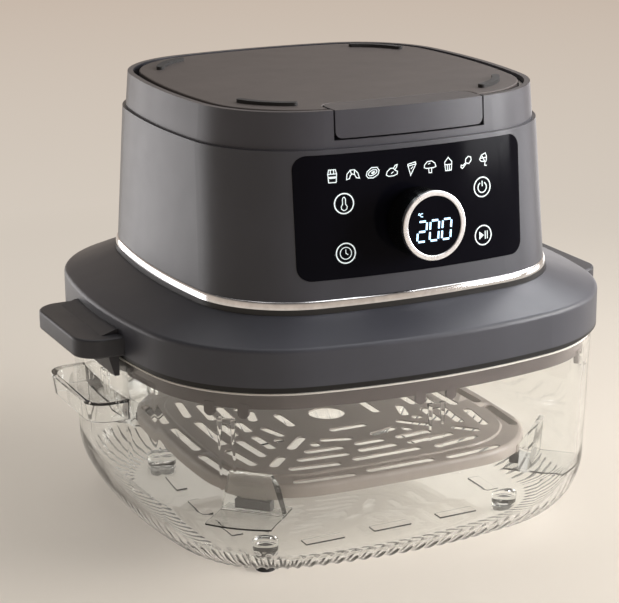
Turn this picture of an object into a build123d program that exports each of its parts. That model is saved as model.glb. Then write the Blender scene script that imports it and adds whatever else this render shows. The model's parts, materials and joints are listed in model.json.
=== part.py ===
"""Glass air fryer: a clear bowl with a crisper plate and a lift-off heating head.

Millimetres. Z is up and the bowl's feet stand on z = 0. The origin is under the
middle of the bowl, X runs from side handle to side handle, and the control
panel faces -Y.
"""
from build123d import *
import math
import os
from typing import NamedTuple

os.makedirs("parts", exist_ok=True)


class Outline(NamedTuple):
    """Rounded rectangle with bowed sides, drawn by eight tangent arcs."""
    half_x: float
    half_y: float
    side: float
    corner: float


# Plan outlines of the main shells
collar = Outline(155.0, 150.0, 390.0, 90.0)
tower_foot = Outline(118.4, 120.8, 440.0, 62.0)
tower_head = Outline(114.5, 114.1, 420.0, 64.0)
cap_foot = Outline(112.7, 112.6, 400.0, 63.6)
cap_head = Outline(111.1, 111.3, 386.0, 62.6)
plate_edge = Outline(109.0, 107.0, 900.0, 58.0)

# Heights, from the table up
bowl_floor_z = 5.0
bowl_rim_z = 127.6
gasket_height = 2.4
collar_band = 23.3
collar_rise = 11.7
step_height = 3.2
chrome_height = 4.6
tower_height = 85.2
seam_gap = 0.6
cap_height = 20.8
collar_z = bowl_rim_z + gasket_height
shoulder_z = collar_z + collar_band
neck_z = shoulder_z + collar_rise
chrome_z = neck_z + step_height
tower_z = chrome_z + chrome_height
seam_z = tower_z + tower_height
cap_z = seam_z + seam_gap
top_z = cap_z + cap_height

# Glass bowl
bowl_inset = 2.7
bowl_draft = 4.5
bowl_wall = 4.0
bowl_floor = 5.0
bowl_bend = 42.0
glass_grip_reach = 22.0
glass_grip_half = 39.5
glass_grip_corner = 12.0
glass_grip_height = 13.0
glass_grip_drop = 24.1
glass_pad_proud = 0.6
foot_x = 83.0
foot_y = 85.0
foot_radius = 6.0
foot_height = 3.4
foot_stem_radius = 2.6
foot_stem_length = 5.0
foot_boss_radius = 8.0
foot_boss_rise = 6.5
rest_width = 39.0
rest_top_width = 26.0
rest_height = 25.0
rest_ledge = 8.0
rest_clearance = 1.3
rest_slope = 9.0
rest_root = 6.0
rim_round = 1.2
key_width = 10.0
key_height = 16.0
key_proud = 1.6
floor_pad_x = 90.0
floor_pad_y = 88.0
floor_pad_width = 8.0
floor_pad_length = 26.0
floor_pad_pitch = 46.0
floor_pad_rise = 1.5
floor_pad_corner = 1.5

# Crisper plate
plate_z = 59.0
plate_sheet = 2.2
plate_rim = 8.0
plate_hole_radius = 11.5
plate_border = 14.0
plate_border_drop = 1.2
slot_width = 4.6
tab_width = 16.0
tab_drop = 4.5
bumper_width = 22.0
bumper_wall = 2.2
bumper_grip = 4.0
bumper_sole = 2.0
bumper_corner = 0.8

# Head: collar, skirt and heater
shell_wall = 3.0
shoulder_round = 3.0
skirt_drop = 14.6
skirt_wall = 2.5
skirt_clearance = 1.6
skirt_flange = 2.5
skirt_ledge = 5.0
fit_gap = 0.1
step_proud = 2.4
step_inset = 0.6
chrome_proud = 0.6
spigot_inset = 1.4
neck_width = 14.4
neck_thickness = 3.0
boss_radius = 4.0
boss_root = 2.0
boss_cover = 2.0
screw_radius = 1.5
screw_head_radius = 2.9
screw_head_height = 2.0
screw_length = 9.0
seal_inset = 0.2
plunger_radius = 0.9
plunger_head_radius = 1.3
plunger_head_height = 1.3
plunger_gap = 0.2
plunger_length = 9.3
switch_half = 10.0
switch_depth = 6.4
switch_height = 10.0
switch_lip = 1.0
switch_travel = 6.0
handle_screw_y = 26.0
lug_spread = 20.0
lug_length = 5.0
lug_width = 4.0
handle_reach = 25.0
handle_half = 43.0
handle_corner = 15.0
handle_edge = 1.5
handle_bottom_lift = 2.0
handle_thickness = 11.7
handle_ramp = 9.0
handle_ramp_rise = 2.8
tongue_depth = 14.0
tongue_half = 36.0
tongue_thickness = 3.0
tongue_clearance = 0.7
reflector_radius = 118.0
reflector_sheet = 1.0
reflector_bend = 12.0
reflector_top_gap = 0.5
element_tube = 3.25
element_inner = 69.0
element_outer = 91.0
element_z = 141.0
element_start = 100.0
element_sweep = 336.0
element_bend = 8.0
terminal_radius = 5.4
terminal_height = 3.0
clip_width = 8.0
clip_sheet = 1.2
clip_inner = 62.0
guard_sheet = 1.2
guard_clearance = 0.5
guard_rings = [(26.0, 4, 12.0), (46.0, 6, 8.0), (66.0, 8, 6.0), (86.0, 10, 5.0), (105.0, 12, 4.5)]
guard_slot = 12.0
probe_radius = 1.6
probe_length = 28.0
probe_z = 150.0

# Blower
shaft_radius = 3.0
shaft_clearance = 2.0
shaft_low_z = 141.0
shaft_length = 81.0
fan_radius = 60.0
fan_disc_z = 156.0
fan_disc_sheet = 1.2
fan_blades = 10
fan_blade_height = 8.5
fan_blade_sheet = 1.2
fan_hub_radius = 8.0
nut_height = 4.0
nut_radius = 6.5
cooler_clearance = 4.0
cooler_z = 168.5
cooler_height = 7.0
cooler_blades = 8
deck_sheet = 1.5
deck_hole_radius = 22.0
bracket_z = 184.0
bracket_sheet = 2.0
bracket_half = 50.0
bracket_width = 34.0
bracket_foot = 14.0
stator_half = 31.0
stator_front = 21.0
stator_back = 43.0
stator_window = 17.0
stator_window_front = 20.0
stator_limb = 10.0
stator_height = 24.0
rotor_radius = 11.6
rotor_gap = 0.4
rotor_lift = 3.0
coil_wrap = 9.5
coil_half = 15.0
coil_round = 5.0
bridge_half = 28.0
bridge_width = 20.0
bridge_screw_x = 24.0
bush_radius = 6.0
bush_length = 7.0
running_gap = 0.05
mains_board_half = 70.0
mains_board_front = 58.0
mains_board_back = 100.0
mains_standoff = 5.5
mount_edge = 6.0
mains_blocks = [
    (-42.0, 8.0, 20.0, 26.0, 22.0),
    (-18.0, 8.0, 16.0, 14.0, 16.0),
    (38.0, 6.0, 20.0, 16.0, 12.0),
    (0.0, 28.0, 40.0, 10.0, 8.0),
]
mains_cans = [(2.0, 16.0, 7.0, 24.0), (18.0, 20.0, 5.0, 18.0)]
cutout_x = 66.0
cutout_y = -40.0
cutout_radius = 8.0
cutout_height = 9.0

# Control panel and dial
panel_half = 73.5
panel_low_z = 184.0
panel_high_z = 255.0
panel_corner = 8.0
panel_sheet = 2.2
panel_proud = 0.3
panel_clearance = 0.15
dial_z = 212.8
dial_radius = 19.85
dial_depth = 17.5
dial_standoff = 0.8
dial_tail_radius = 18.5
dial_hole_gap = 0.4
bezel_height = 3.0
bezel_radius = 20.0
hub_radius = 16.9
hub_lens_sheet = 2.0
hub_rise = 18.8
display_half = 12.5
display_half_height = 7.0
display_sheet = 1.6
encoder_radius = 22.0
encoder_sheet = 1.2
encoder_depth = 6.0
board_setback = 14.0
board_half = 66.0
board_half_height = 30.0
board_sheet = 1.6
standoff_radius = 3.0
standoff_x = 60.0
standoff_rise = 24.0
pilot_radius = 1.2
pilot_head_radius = 2.2
pilot_head_height = 1.4
pilot_length = 5.0
grille_half = 50.0
grille_low_z = 197.0
grille_high_z = 245.0
grille_corner = 6.0
grille_lip = 3.0
grille_lip_sheet = 1.2
louvre_count = 7
louvre_width = 2.6
louvre_margin = 6.0
gland_z = 183.0
gland_radius = 6.0
gland_flange_radius = 8.5
gland_bore = 3.6
gland_flange = 2.2

# Cap, bail handle and top
cap_rim = 3.5
groove_width = 3.8
groove_depth = 13.9
top_plate_sheet = 3.0
top_edge = 0.8
grip_half = 47.5
grip_back_y = -88.5
grip_drop = 16.0
grip_gap = 1.0
grip_wall = 3.0
grip_corner = 8.0
grip_edge = 4.0
grip_arm_hold = 3.0
cover_sheet = 2.0
spigot_drop = 8.6
spigot_wall = 2.5
seam_inset = 1.5
cap_wall = 3.0
cap_floor = 5.0
bail_inset = 4.4
bail_sheet = 2.0
bail_height = 8.0
bail_eye_radius = 5.0
bail_pin_radius = 2.0
pivot_drop = 6.9
pin_cover = 1.5
foot_arc_radius = 44.0
foot_arc_centre = 44.0
foot_arc_start = 22.0
foot_arc_sweep = 43.0
foot_arc_width = 4.6
foot_arc_rise = 2.0


def inset(outline, by):
    """The same outline moved inward by a distance."""
    return Outline(outline.half_x - by, outline.half_y - by, outline.side - by, outline.corner - by)


def corner_centre(outline):
    """Centre of the corner arc at +X +Y."""
    pull_x = outline.half_x - outline.side
    pull_y = outline.half_y - outline.side
    spread = outline.side - outline.corner
    base = math.hypot(pull_x, pull_y)
    lift = math.sqrt(spread ** 2 - (base / 2) ** 2)
    return (pull_x / 2 - lift * pull_y / base, pull_y / 2 - lift * pull_x / base)


def corner_reach(outline):
    """X and Y of the point where the outline crosses the diagonal of its corner arc."""
    centre_x, centre_y = corner_centre(outline)
    return (centre_x + outline.corner * math.sqrt(0.5), centre_y + outline.corner * math.sqrt(0.5))


def blend(low, high, share):
    """Outline part of the way from one to another."""
    return Outline(*(a + (b - a) * share for a, b in zip(low, high)))


def arc_middle(outline, start, end):
    """Middle of the corner arc between its two tangent points."""
    centre_x, centre_y = corner_centre(outline)
    toward_x = (start[0] + end[0]) / 2 - centre_x
    toward_y = (start[1] + end[1]) / 2 - centre_y
    stretch = outline.corner / math.hypot(toward_x, toward_y)
    return (centre_x + toward_x * stretch, centre_y + toward_y * stretch)


def outline_sketch(outline, z=0.0):
    """Filled outline on a level plane."""
    centre_x, centre_y = corner_centre(outline)
    east_x = outline.half_x - outline.side
    north_y = outline.half_y - outline.side
    reach = outline.side / (outline.side - outline.corner)
    x1 = east_x + (centre_x - east_x) * reach
    y1 = centre_y * reach
    x2 = centre_x * reach
    y2 = north_y + (centre_y - north_y) * reach
    mid_x, mid_y = arc_middle(outline, (x1, y1), (x2, y2))
    with BuildSketch(Plane.XY.offset(z)) as level:
        with BuildLine():
            ThreePointArc((x1, -y1), (outline.half_x, 0), (x1, y1))
            ThreePointArc((x1, y1), (mid_x, mid_y), (x2, y2))
            ThreePointArc((x2, y2), (0, outline.half_y), (-x2, y2))
            ThreePointArc((-x2, y2), (-mid_x, mid_y), (-x1, y1))
            ThreePointArc((-x1, y1), (-outline.half_x, 0), (-x1, -y1))
            ThreePointArc((-x1, -y1), (-mid_x, -mid_y), (-x2, -y2))
            ThreePointArc((-x2, -y2), (0, -outline.half_y), (x2, -y2))
            ThreePointArc((x2, -y2), (mid_x, -mid_y), (x1, -y1))
        make_face()
    return level.sketch


def prism(outline, low_z, high_z, mode=Mode.ADD):
    """Straight prism of an outline."""
    extrude(outline_sketch(outline, low_z), amount=high_z - low_z, mode=mode)


def frustum(low, high, low_z, high_z, mode=Mode.ADD):
    """Ruled solid from one outline to another above it."""
    loft([outline_sketch(low, low_z), outline_sketch(high, high_z)], ruled=True, mode=mode)


def tube(low_z, high_z, radius, bore=0.0, at=(0.0, 0.0), mode=Mode.ADD):
    """Upright round bar or tube."""
    with BuildSketch(Plane.XY.offset(low_z)) as ring:
        with Locations(at):
            Circle(radius)
            if bore:
                Circle(bore, mode=Mode.SUBTRACT)
    extrude(ring.sketch, amount=high_z - low_z, mode=mode)


def finish(part, label):
    """Label a finished piece and write its file."""
    part.label = label
    export_step(part, f"parts/{label}.step")


four_corners = [(1, 1), (-1, 1), (-1, -1), (1, -1)]

# Derived outlines and levels
bowl_rim = inset(collar, bowl_inset)
bowl_base = inset(bowl_rim, bowl_draft)
skirt_outer = inset(bowl_rim, bowl_wall + skirt_clearance)
skirt_inner = inset(skirt_outer, skirt_wall)
neck = inset(tower_foot, -step_proud)
neck_bore = inset(tower_foot, neck_width)
spigot = inset(tower_foot, spigot_inset)
spigot_bore = inset(spigot, shell_wall)
groove_outer = inset(cap_head, cap_rim)
groove_inner = inset(groove_outer, groove_width)
cavity_z = bowl_floor_z + bowl_floor
border_z = plate_z - plate_border_drop
skirt_z = bowl_rim_z - skirt_drop
key_z = skirt_z - lug_length / 2 - key_height
flange_z = collar_z + skirt_flange
tab_z = plate_z - plate_border_drop - plate_rim - tab_drop
rest_z = tab_z - bumper_sole
grip_top_z = bowl_rim_z - glass_grip_drop
pad_x = bowl_rim.half_x + glass_pad_proud
handle_z = collar_z + handle_bottom_lift
handle_top_z = handle_z + handle_thickness
deck_z = neck_z + deck_sheet
pivot_z = top_z - pivot_drop
groove_z = top_z - groove_depth
plunger_spot = (0, bowl_rim.half_y - 0.7 * bowl_wall)
corner_x, corner_y = corner_reach(plate_edge)
dome_z = neck_z - neck_thickness - reflector_top_gap
tower_lean = math.atan((tower_foot.half_y - tower_head.half_y) / tower_height)
tower_bore_foot = inset(tower_foot, shell_wall)
tower_bore_head = inset(tower_head, shell_wall)
rest_back = math.dist(corner_reach(bowl_rim), (corner_x, corner_y))
corner_face = Plane(origin=(corner_x, corner_y, 0), x_dir=(-1, 1, 0), z_dir=(1, 1, 0))
corner_side = Plane(origin=(corner_x, corner_y, 0), x_dir=(1, 1, 0), z_dir=(1, -1, 0))


def bowl_outline(z):
    """Outer outline of the drafted glass wall at a height."""
    return blend(bowl_base, bowl_rim, (z - bowl_floor_z) / (bowl_rim_z - bowl_floor_z))


def tower_outline(z):
    """Outer outline of the tower wall at a height."""
    return blend(tower_foot, tower_head, (z - tower_z) / tower_height)


dial_plane = Plane(
    origin=(0, -tower_outline(dial_z).half_y - panel_proud, dial_z),
    x_dir=(1, 0, 0),
    z_dir=(0, -math.cos(tower_lean), math.sin(tower_lean)),
)


def block(x, y, z, mode=Mode.ADD):
    """Box between pairs of X, Y and Z."""
    with Locations(((x[0] + x[1]) / 2, (y[0] + y[1]) / 2, (z[0] + z[1]) / 2)):
        Box(x[1] - x[0], y[1] - y[0], z[1] - z[0], mode=mode)


def polar(radius, angle, z):
    """Point on a level circle about the upright axis."""
    return Vector(radius * math.cos(math.radians(angle)), radius * math.sin(math.radians(angle)), z)


def around(outline):
    """Middles of the four sides and the four corners, each with its outward angle."""
    reach_x, reach_y = corner_reach(outline)
    spots = [(outline.half_x, 0, 0), (0, outline.half_y, 90)]
    spots += [(-outline.half_x, 0, 180), (0, -outline.half_y, 270)]
    for side_x, side_y in four_corners:
        angle = math.degrees(math.atan2(side_y, side_x))
        spots.append((side_x * reach_x, side_y * reach_y, angle))
    return spots


def posts_around(outline, shifts, width, depth, low_z, high_z, mode=Mode.ADD):
    """Upright blocks across an outline, each shifted sideways along it."""
    with BuildSketch(Plane.XY.offset(low_z)) as plan:
        for x, y, angle in around(outline):
            for shift in shifts:
                turn = math.radians(angle)
                spot = (x - shift * math.sin(turn), y + shift * math.cos(turn), 0)
                with Locations(Location(spot, (0, 0, angle))):
                    Rectangle(depth, width)
    extrude(plan.sketch, amount=high_z - low_z, mode=mode)


def tower_skin(proud, depth):
    """Layer of the tower's wall from outside its face to a depth."""
    with BuildPart() as layer:
        frustum(inset(tower_foot, -proud), inset(tower_head, -proud), tower_z, seam_z)
        frustum(inset(tower_foot, depth), inset(tower_head, depth), tower_z, seam_z, mode=Mode.SUBTRACT)
    return layer.part


def barrel(plane, low, high, radius, bore=0.0, mode=Mode.ADD):
    """Round bar or tube along a plane's normal."""
    with BuildSketch(plane.offset(low)) as ring:
        Circle(radius)
        if bore:
            Circle(bore, mode=Mode.SUBTRACT)
    extrude(ring.sketch, amount=high - low, mode=mode)


def four_ways(part, mode=Mode.ADD):
    """Put a corner piece in all four corners."""
    add(part, mode=mode)
    mirror(part, about=Plane.YZ, mode=mode)
    mirror(part, about=Plane.XZ, mode=mode)
    add(part.rotate(Axis.Z, 180), mode=mode)


# Glass bowl with moulded handles, rests, keys and foot bosses
with BuildPart() as bowl_cavity:
    frustum(inset(bowl_outline(cavity_z), bowl_wall), inset(bowl_rim, bowl_wall), cavity_z, bowl_rim_z)
    fillet(bowl_cavity.faces().sort_by(Axis.Z)[0].edges(), bowl_bend - bowl_wall)

with BuildPart() as bowl_body:
    frustum(bowl_base, bowl_rim, bowl_floor_z, bowl_rim_z)
    fillet(bowl_body.faces().sort_by(Axis.Z)[0].edges(), bowl_bend)

with BuildPart() as bowl_rest:
    guide = bumper_wall + rest_clearance
    with BuildSketch(corner_side):
        with BuildLine():
            Polyline(
                (-rest_ledge, rest_z),
                (guide, rest_z),
                (guide, plate_z),
                (guide + rest_slope, rest_z + rest_height),
                (rest_back, rest_z + rest_height),
                (rest_back, rest_z - 2 * rest_root),
                (0, rest_z - rest_root),
                (-rest_ledge, rest_z - rest_ledge / 2),
                close=True,
            )
        make_face()
    extrude(amount=rest_width / 2, both=True)
    with BuildSketch(corner_face.offset(-rest_ledge)):
        with BuildLine():
            Polyline(
                (-rest_width / 2, rest_z - 2 * rest_root),
                (rest_width / 2, rest_z - 2 * rest_root),
                (rest_width / 2, rest_z),
                (rest_top_width / 2, rest_z + rest_height),
                (-rest_top_width / 2, rest_z + rest_height),
                (-rest_width / 2, rest_z),
                close=True,
            )
        make_face()
    extrude(amount=rest_ledge + rest_back, mode=Mode.INTERSECT)
    add(bowl_body.part, mode=Mode.INTERSECT)

with BuildPart() as rim_keys:
    frustum(
        inset(bowl_outline(key_z), bowl_wall - rim_round),
        inset(bowl_outline(key_z + key_height), bowl_wall - rim_round),
        key_z,
        key_z + key_height,
    )
    prism(inset(bowl_outline(key_z), bowl_wall + key_proud), key_z, key_z + key_height, mode=Mode.SUBTRACT)
    posts_around(bowl_rim, (0,), key_width, 6 * bowl_wall, key_z, key_z + key_height, mode=Mode.INTERSECT)

with BuildPart() as glass_bowl:
    add(bowl_body.part)
    with BuildSketch(Plane.XY.offset(grip_top_z - glass_grip_height)):
        with Locations((bowl_rim.half_x - bowl_wall, 0), (bowl_wall - bowl_rim.half_x, 0)):
            RectangleRounded(2 * (glass_grip_reach + bowl_wall), 2 * glass_grip_half, glass_grip_corner)
    extrude(amount=glass_grip_height)
    with BuildSketch(Plane.XY.offset(grip_top_z)):
        with Locations((pad_x - bowl_wall / 2, 0), (bowl_wall / 2 - pad_x, 0)):
            Rectangle(bowl_wall, 2 * glass_grip_half)
    extrude(amount=bowl_rim_z - grip_top_z)
    add(bowl_cavity.part, mode=Mode.SUBTRACT)
    fillet(glass_bowl.faces().sort_by(Axis.Z)[-1].inner_wires()[0].edges(), rim_round)
    add(rim_keys.part)
    four_ways(bowl_rest.part)
    for side_x, side_y in four_corners:
        spot = (side_x * foot_x, side_y * foot_y)
        tube(foot_height, cavity_z + foot_boss_rise, foot_boss_radius, at=spot)
        tube(foot_height, foot_height + foot_stem_length, foot_stem_radius, at=spot, mode=Mode.SUBTRACT)
    with BuildSketch(Plane.XY.offset(cavity_z)) as floor_pads:
        with GridLocations(2 * floor_pad_x, floor_pad_pitch, 2, 3):
            RectangleRounded(floor_pad_width, floor_pad_length, floor_pad_corner)
        with GridLocations(floor_pad_pitch, 2 * floor_pad_y, 3, 2):
            RectangleRounded(floor_pad_length, floor_pad_width, floor_pad_corner)
    extrude(floor_pads.sketch, amount=floor_pad_rise)
finish(glass_bowl.part, "glass_bowl")

# Rubber feet pressed into the bowl's bosses
with BuildPart() as bowl_feet:
    for side_x, side_y in four_corners:
        spot = (side_x * foot_x, side_y * foot_y)
        tube(0, foot_height, foot_radius, at=spot)
        tube(foot_height, foot_height + foot_stem_length, foot_stem_radius, at=spot)
finish(bowl_feet.part, "bowl_feet")

# Sheet tab that carries a corner of the crisper plate
with BuildPart() as plate_tab:
    with BuildSketch(corner_side):
        with Locations((-plate_sheet / 2, (tab_z + border_z - plate_rim) / 2)):
            Rectangle(plate_sheet, border_z - plate_rim - tab_z)
    extrude(amount=tab_width / 2, both=True)

# Crisper plate: border, raised middle, turned-down rim, four tabs and rows of slots
slot_rows = [
    (30.0, [(0.0, 26.0, 0.0)]),
    (46.0, [(16.5, 21.0, 16.0)]),
    (48.5, [(32.0, 7.5, 100.0)]),
    (59.0, [(0.0, 21.0, 0.0), (31.0, 26.0, 4.0)]),
    (70.0, [(0.0, 27.0, 0.0), (37.0, 34.0, 5.0)]),
    (82.0, [(0.0, 47.0, 0.0), (48.5, 33.0, 8.0)]),
    (99.5, [(0.0, 46.0, 0.0), (50.5, 40.0, 5.0)]),
]
diagonal_slots = [(58.0, 24.0), (92.0, 19.0)]

with BuildPart() as crisper_plate:
    prism(plate_edge, border_z - plate_rim, border_z)
    prism(inset(plate_edge, plate_border), border_z, plate_z)
    prism(inset(plate_edge, plate_sheet), border_z - plate_rim, border_z - plate_sheet, mode=Mode.SUBTRACT)
    prism(
        inset(plate_edge, plate_border + plate_sheet),
        border_z - plate_sheet,
        plate_z - plate_sheet,
        mode=Mode.SUBTRACT,
    )
    with BuildSketch(Plane.XY.offset(border_z - plate_rim)):
        Circle(plate_hole_radius)
        for quarter in range(4):
            for distance, slots in slot_rows:
                for along, length, tilt in slots:
                    for way in (1, -1) if along else (1,):
                        angle = 90 * quarter
                        turned = Plane.XY.rotated((0, 0, angle)).from_local_coords((way * along, -distance))
                        with Locations(Location((turned.X, turned.Y, 0), (0, 0, angle + way * tilt))):
                            SlotOverall(length, slot_width)
            for distance, length in diagonal_slots:
                angle = 45 + 90 * quarter
                with PolarLocations(distance, 1, start_angle=angle):
                    SlotOverall(length, slot_width)
    extrude(amount=plate_rim + plate_border_drop, mode=Mode.SUBTRACT)
    four_ways(plate_tab.part)
finish(crisper_plate.part, "crisper_plate")

# Soft caps pushed over the plate's tabs
with BuildPart() as bumper:
    with BuildSketch(corner_side):
        with Locations((-plate_sheet / 2, (rest_z + tab_z + bumper_grip) / 2)):
            RectangleRounded(plate_sheet + 2 * bumper_wall, tab_z + bumper_grip - rest_z, bumper_corner)
    extrude(amount=bumper_width / 2, both=True)
    add(plate_tab.part, mode=Mode.SUBTRACT)

with BuildPart() as plate_bumpers:
    four_ways(bumper.part)
finish(plate_bumpers.part, "plate_bumpers")

# Collar: outer band and shoulder, hollow below the neck
with BuildPart() as collar_solid:
    prism(collar, collar_z, shoulder_z)
    frustum(collar, neck, shoulder_z, neck_z)
    fillet(collar_solid.edges().filter_by_position(Axis.Z, shoulder_z, shoulder_z), shoulder_round)

with BuildPart() as collar_void:
    prism(inset(collar, shell_wall), collar_z, shoulder_z - shell_wall)
    frustum(
        inset(collar, shell_wall),
        inset(neck, shell_wall),
        shoulder_z - shell_wall,
        neck_z - neck_thickness,
    )
    prism(neck_bore, neck_z - neck_thickness, neck_z)

skirt_screw_spots = [
    (side_x * spot_x, side_y * spot_y)
    for side_x, side_y in four_corners
    for spot_x, spot_y in (corner_reach(inset(collar, shell_wall + boss_radius)),)
]
shell_screw_spots = [
    (side_x * spot_x, side_y * spot_y)
    for side_x, side_y in four_corners
    for spot_x, spot_y in (corner_reach(inset(spigot_bore, boss_radius - boss_root)),)
]
ledge_middle = inset(skirt_inner, skirt_ledge / 2)
reflector_screw_spots = [(x, y) for x, y, angle in around(ledge_middle)[:4]]

with BuildPart() as collar_shell:
    add(collar_solid.part)
    add(collar_void.part, mode=Mode.SUBTRACT)
    for spot in skirt_screw_spots:
        tube(flange_z, shoulder_z, boss_radius, at=spot)
        tube(flange_z, flange_z + screw_length, screw_radius, at=spot, mode=Mode.SUBTRACT)
    for spot in shell_screw_spots:
        tube(neck_z - neck_thickness, neck_z, screw_radius, at=spot, mode=Mode.SUBTRACT)
    for side in (1, -1):
        for place in (1, -1):
            with BuildSketch(Plane.YZ.offset(side * (collar.half_x - 2 * shell_wall))):
                with Locations((place * handle_screw_y, handle_z + handle_thickness / 2)):
                    Circle(screw_radius)
            extrude(amount=side * 3 * shell_wall, mode=Mode.SUBTRACT)
finish(collar_shell.part, "collar_shell")

# Skirt ring: flange inside the collar, wall inside the bowl, pairs of lugs below
with BuildPart() as skirt_lugs:
    prism(skirt_outer, skirt_z - lug_length, skirt_z)
    prism(skirt_inner, skirt_z - lug_length, skirt_z, mode=Mode.SUBTRACT)
    posts_around(
        skirt_outer,
        (-lug_spread / 2, lug_spread / 2),
        lug_width,
        8 * skirt_wall,
        skirt_z - lug_length,
        skirt_z,
        mode=Mode.INTERSECT,
    )

with BuildPart() as skirt_ring:
    prism(inset(collar, shell_wall + fit_gap), collar_z, flange_z)
    prism(skirt_outer, skirt_z, collar_z)
    prism(skirt_inner, skirt_z, collar_z, mode=Mode.SUBTRACT)
    prism(inset(skirt_inner, skirt_ledge), collar_z, flange_z, mode=Mode.SUBTRACT)
    add(skirt_lugs.part)
    for spot in skirt_screw_spots:
        tube(collar_z, flange_z, screw_radius, at=spot, mode=Mode.SUBTRACT)
        tube(bowl_rim_z, collar_z, screw_head_radius + fit_gap, at=spot, mode=Mode.SUBTRACT)
    for spot in reflector_screw_spots:
        tube(collar_z, flange_z, screw_radius, at=spot, mode=Mode.SUBTRACT)
    tube(collar_z, flange_z, plunger_radius + plunger_gap, at=plunger_spot, mode=Mode.SUBTRACT)
finish(skirt_ring.part, "skirt_ring")

with BuildPart() as skirt_screws:
    for spot in skirt_screw_spots:
        tube(collar_z - screw_head_height, collar_z, screw_head_radius, at=spot)
        tube(collar_z, flange_z + screw_length, screw_radius, at=spot)
finish(skirt_screws.part, "skirt_screws")

# Soft seal between the bowl's rim and the collar
with BuildPart() as rim_seal:
    prism(inset(bowl_rim, seal_inset), bowl_rim_z, collar_z)
    prism(inset(skirt_outer, -fit_gap), bowl_rim_z, collar_z, mode=Mode.SUBTRACT)
    for spot in skirt_screw_spots:
        tube(bowl_rim_z, collar_z, screw_head_radius + fit_gap, at=spot, mode=Mode.SUBTRACT)
    tube(bowl_rim_z, collar_z, plunger_radius + plunger_gap, at=plunger_spot, mode=Mode.SUBTRACT)
finish(rim_seal.part, "rim_seal")

# Side handles with a ramp on top and a tongue in front of the glass
with BuildPart() as side_handle:
    with BuildSketch(Plane.XY.offset(handle_z)):
        with Locations((collar.half_x, 0)):
            RectangleRounded(2 * handle_reach, 2 * handle_half, handle_corner)
    extrude(amount=handle_thickness)
    fillet(side_handle.faces().filter_by(Axis.Z).edges(), handle_edge)
    with BuildSketch(Plane.XZ) as ramp_side:
        with BuildLine():
            Polyline(
                (collar.half_x - shell_wall, handle_top_z - handle_edge),
                (collar.half_x + handle_ramp, handle_top_z - handle_edge),
                (collar.half_x + handle_ramp, handle_top_z),
                (collar.half_x, handle_top_z + handle_ramp_rise),
                (collar.half_x - shell_wall, handle_top_z + handle_ramp_rise),
                close=True,
            )
        make_face()
    extrude(ramp_side.sketch, amount=handle_half - handle_corner / 2, both=True)
    with BuildSketch(Plane.XZ) as tongue_side:
        with BuildLine():
            Polyline(
                (pad_x + tongue_clearance, collar_z + handle_bottom_lift - tongue_depth),
                (pad_x + tongue_clearance + tongue_thickness, collar_z + handle_bottom_lift - tongue_depth),
                (pad_x + tongue_clearance + 2.5 * tongue_thickness, handle_z + handle_edge),
                (pad_x + tongue_clearance, handle_z + handle_edge),
                close=True,
            )
        make_face()
    extrude(tongue_side.sketch, amount=tongue_half, both=True)
    add(collar_solid.part, mode=Mode.SUBTRACT)
    for place in (1, -1):
        with BuildSketch(Plane.YZ.offset(collar.half_x - shell_wall)) as screw_ring:
            with Locations((place * handle_screw_y, handle_z + handle_thickness / 2)):
                Circle(screw_radius)
        extrude(screw_ring.sketch, amount=screw_length, mode=Mode.SUBTRACT)
finish(side_handle.part, "side_handle_left")

with BuildPart() as side_handle_twin:
    add(side_handle.part.rotate(Axis.Z, 180))
finish(side_handle_twin.part, "side_handle_right")

screw_seat_x = collar.half_x - shell_wall - (handle_screw_y + screw_head_radius) ** 2 / (2 * collar.side)
with BuildPart() as handle_screws:
    for side in (1, -1):
        for place in (1, -1):
            spot = (place * handle_screw_y, handle_z + handle_thickness / 2)
            with BuildSketch(Plane.YZ.offset(side * screw_seat_x)) as screw_ring:
                with Locations(spot):
                    Circle(screw_head_radius)
            extrude(screw_ring.sketch, amount=-side * screw_head_height)
            with BuildSketch(Plane.YZ.offset(side * screw_seat_x)) as screw_ring:
                with Locations(spot):
                    Circle(screw_radius)
            extrude(screw_ring.sketch, amount=side * screw_length)
finish(handle_screws.part, "handle_screws")

# Switch over the bowl's rim and the rod that feels it
with BuildPart() as switch_plunger:
    tube(bowl_rim_z + fit_gap, bowl_rim_z + fit_gap + plunger_length, plunger_radius, at=plunger_spot)
    tube(
        bowl_rim_z + fit_gap + plunger_length - plunger_head_height,
        bowl_rim_z + fit_gap + plunger_length,
        plunger_head_radius,
        at=plunger_spot,
    )
finish(switch_plunger.part, "switch_plunger")

with BuildPart() as safety_switch:
    switch_back = collar.half_y - shell_wall - 5 * fit_gap
    block(
        (-switch_half, switch_half),
        (switch_back - switch_depth, switch_back),
        (flange_z, flange_z + switch_height),
    )
    tube(flange_z, flange_z + switch_lip, plunger_radius + plunger_gap, at=plunger_spot, mode=Mode.SUBTRACT)
    tube(
        flange_z + switch_lip,
        flange_z + switch_lip + switch_travel,
        plunger_head_radius + plunger_gap,
        at=plunger_spot,
        mode=Mode.SUBTRACT,
    )
finish(safety_switch.part, "safety_switch")

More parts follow.
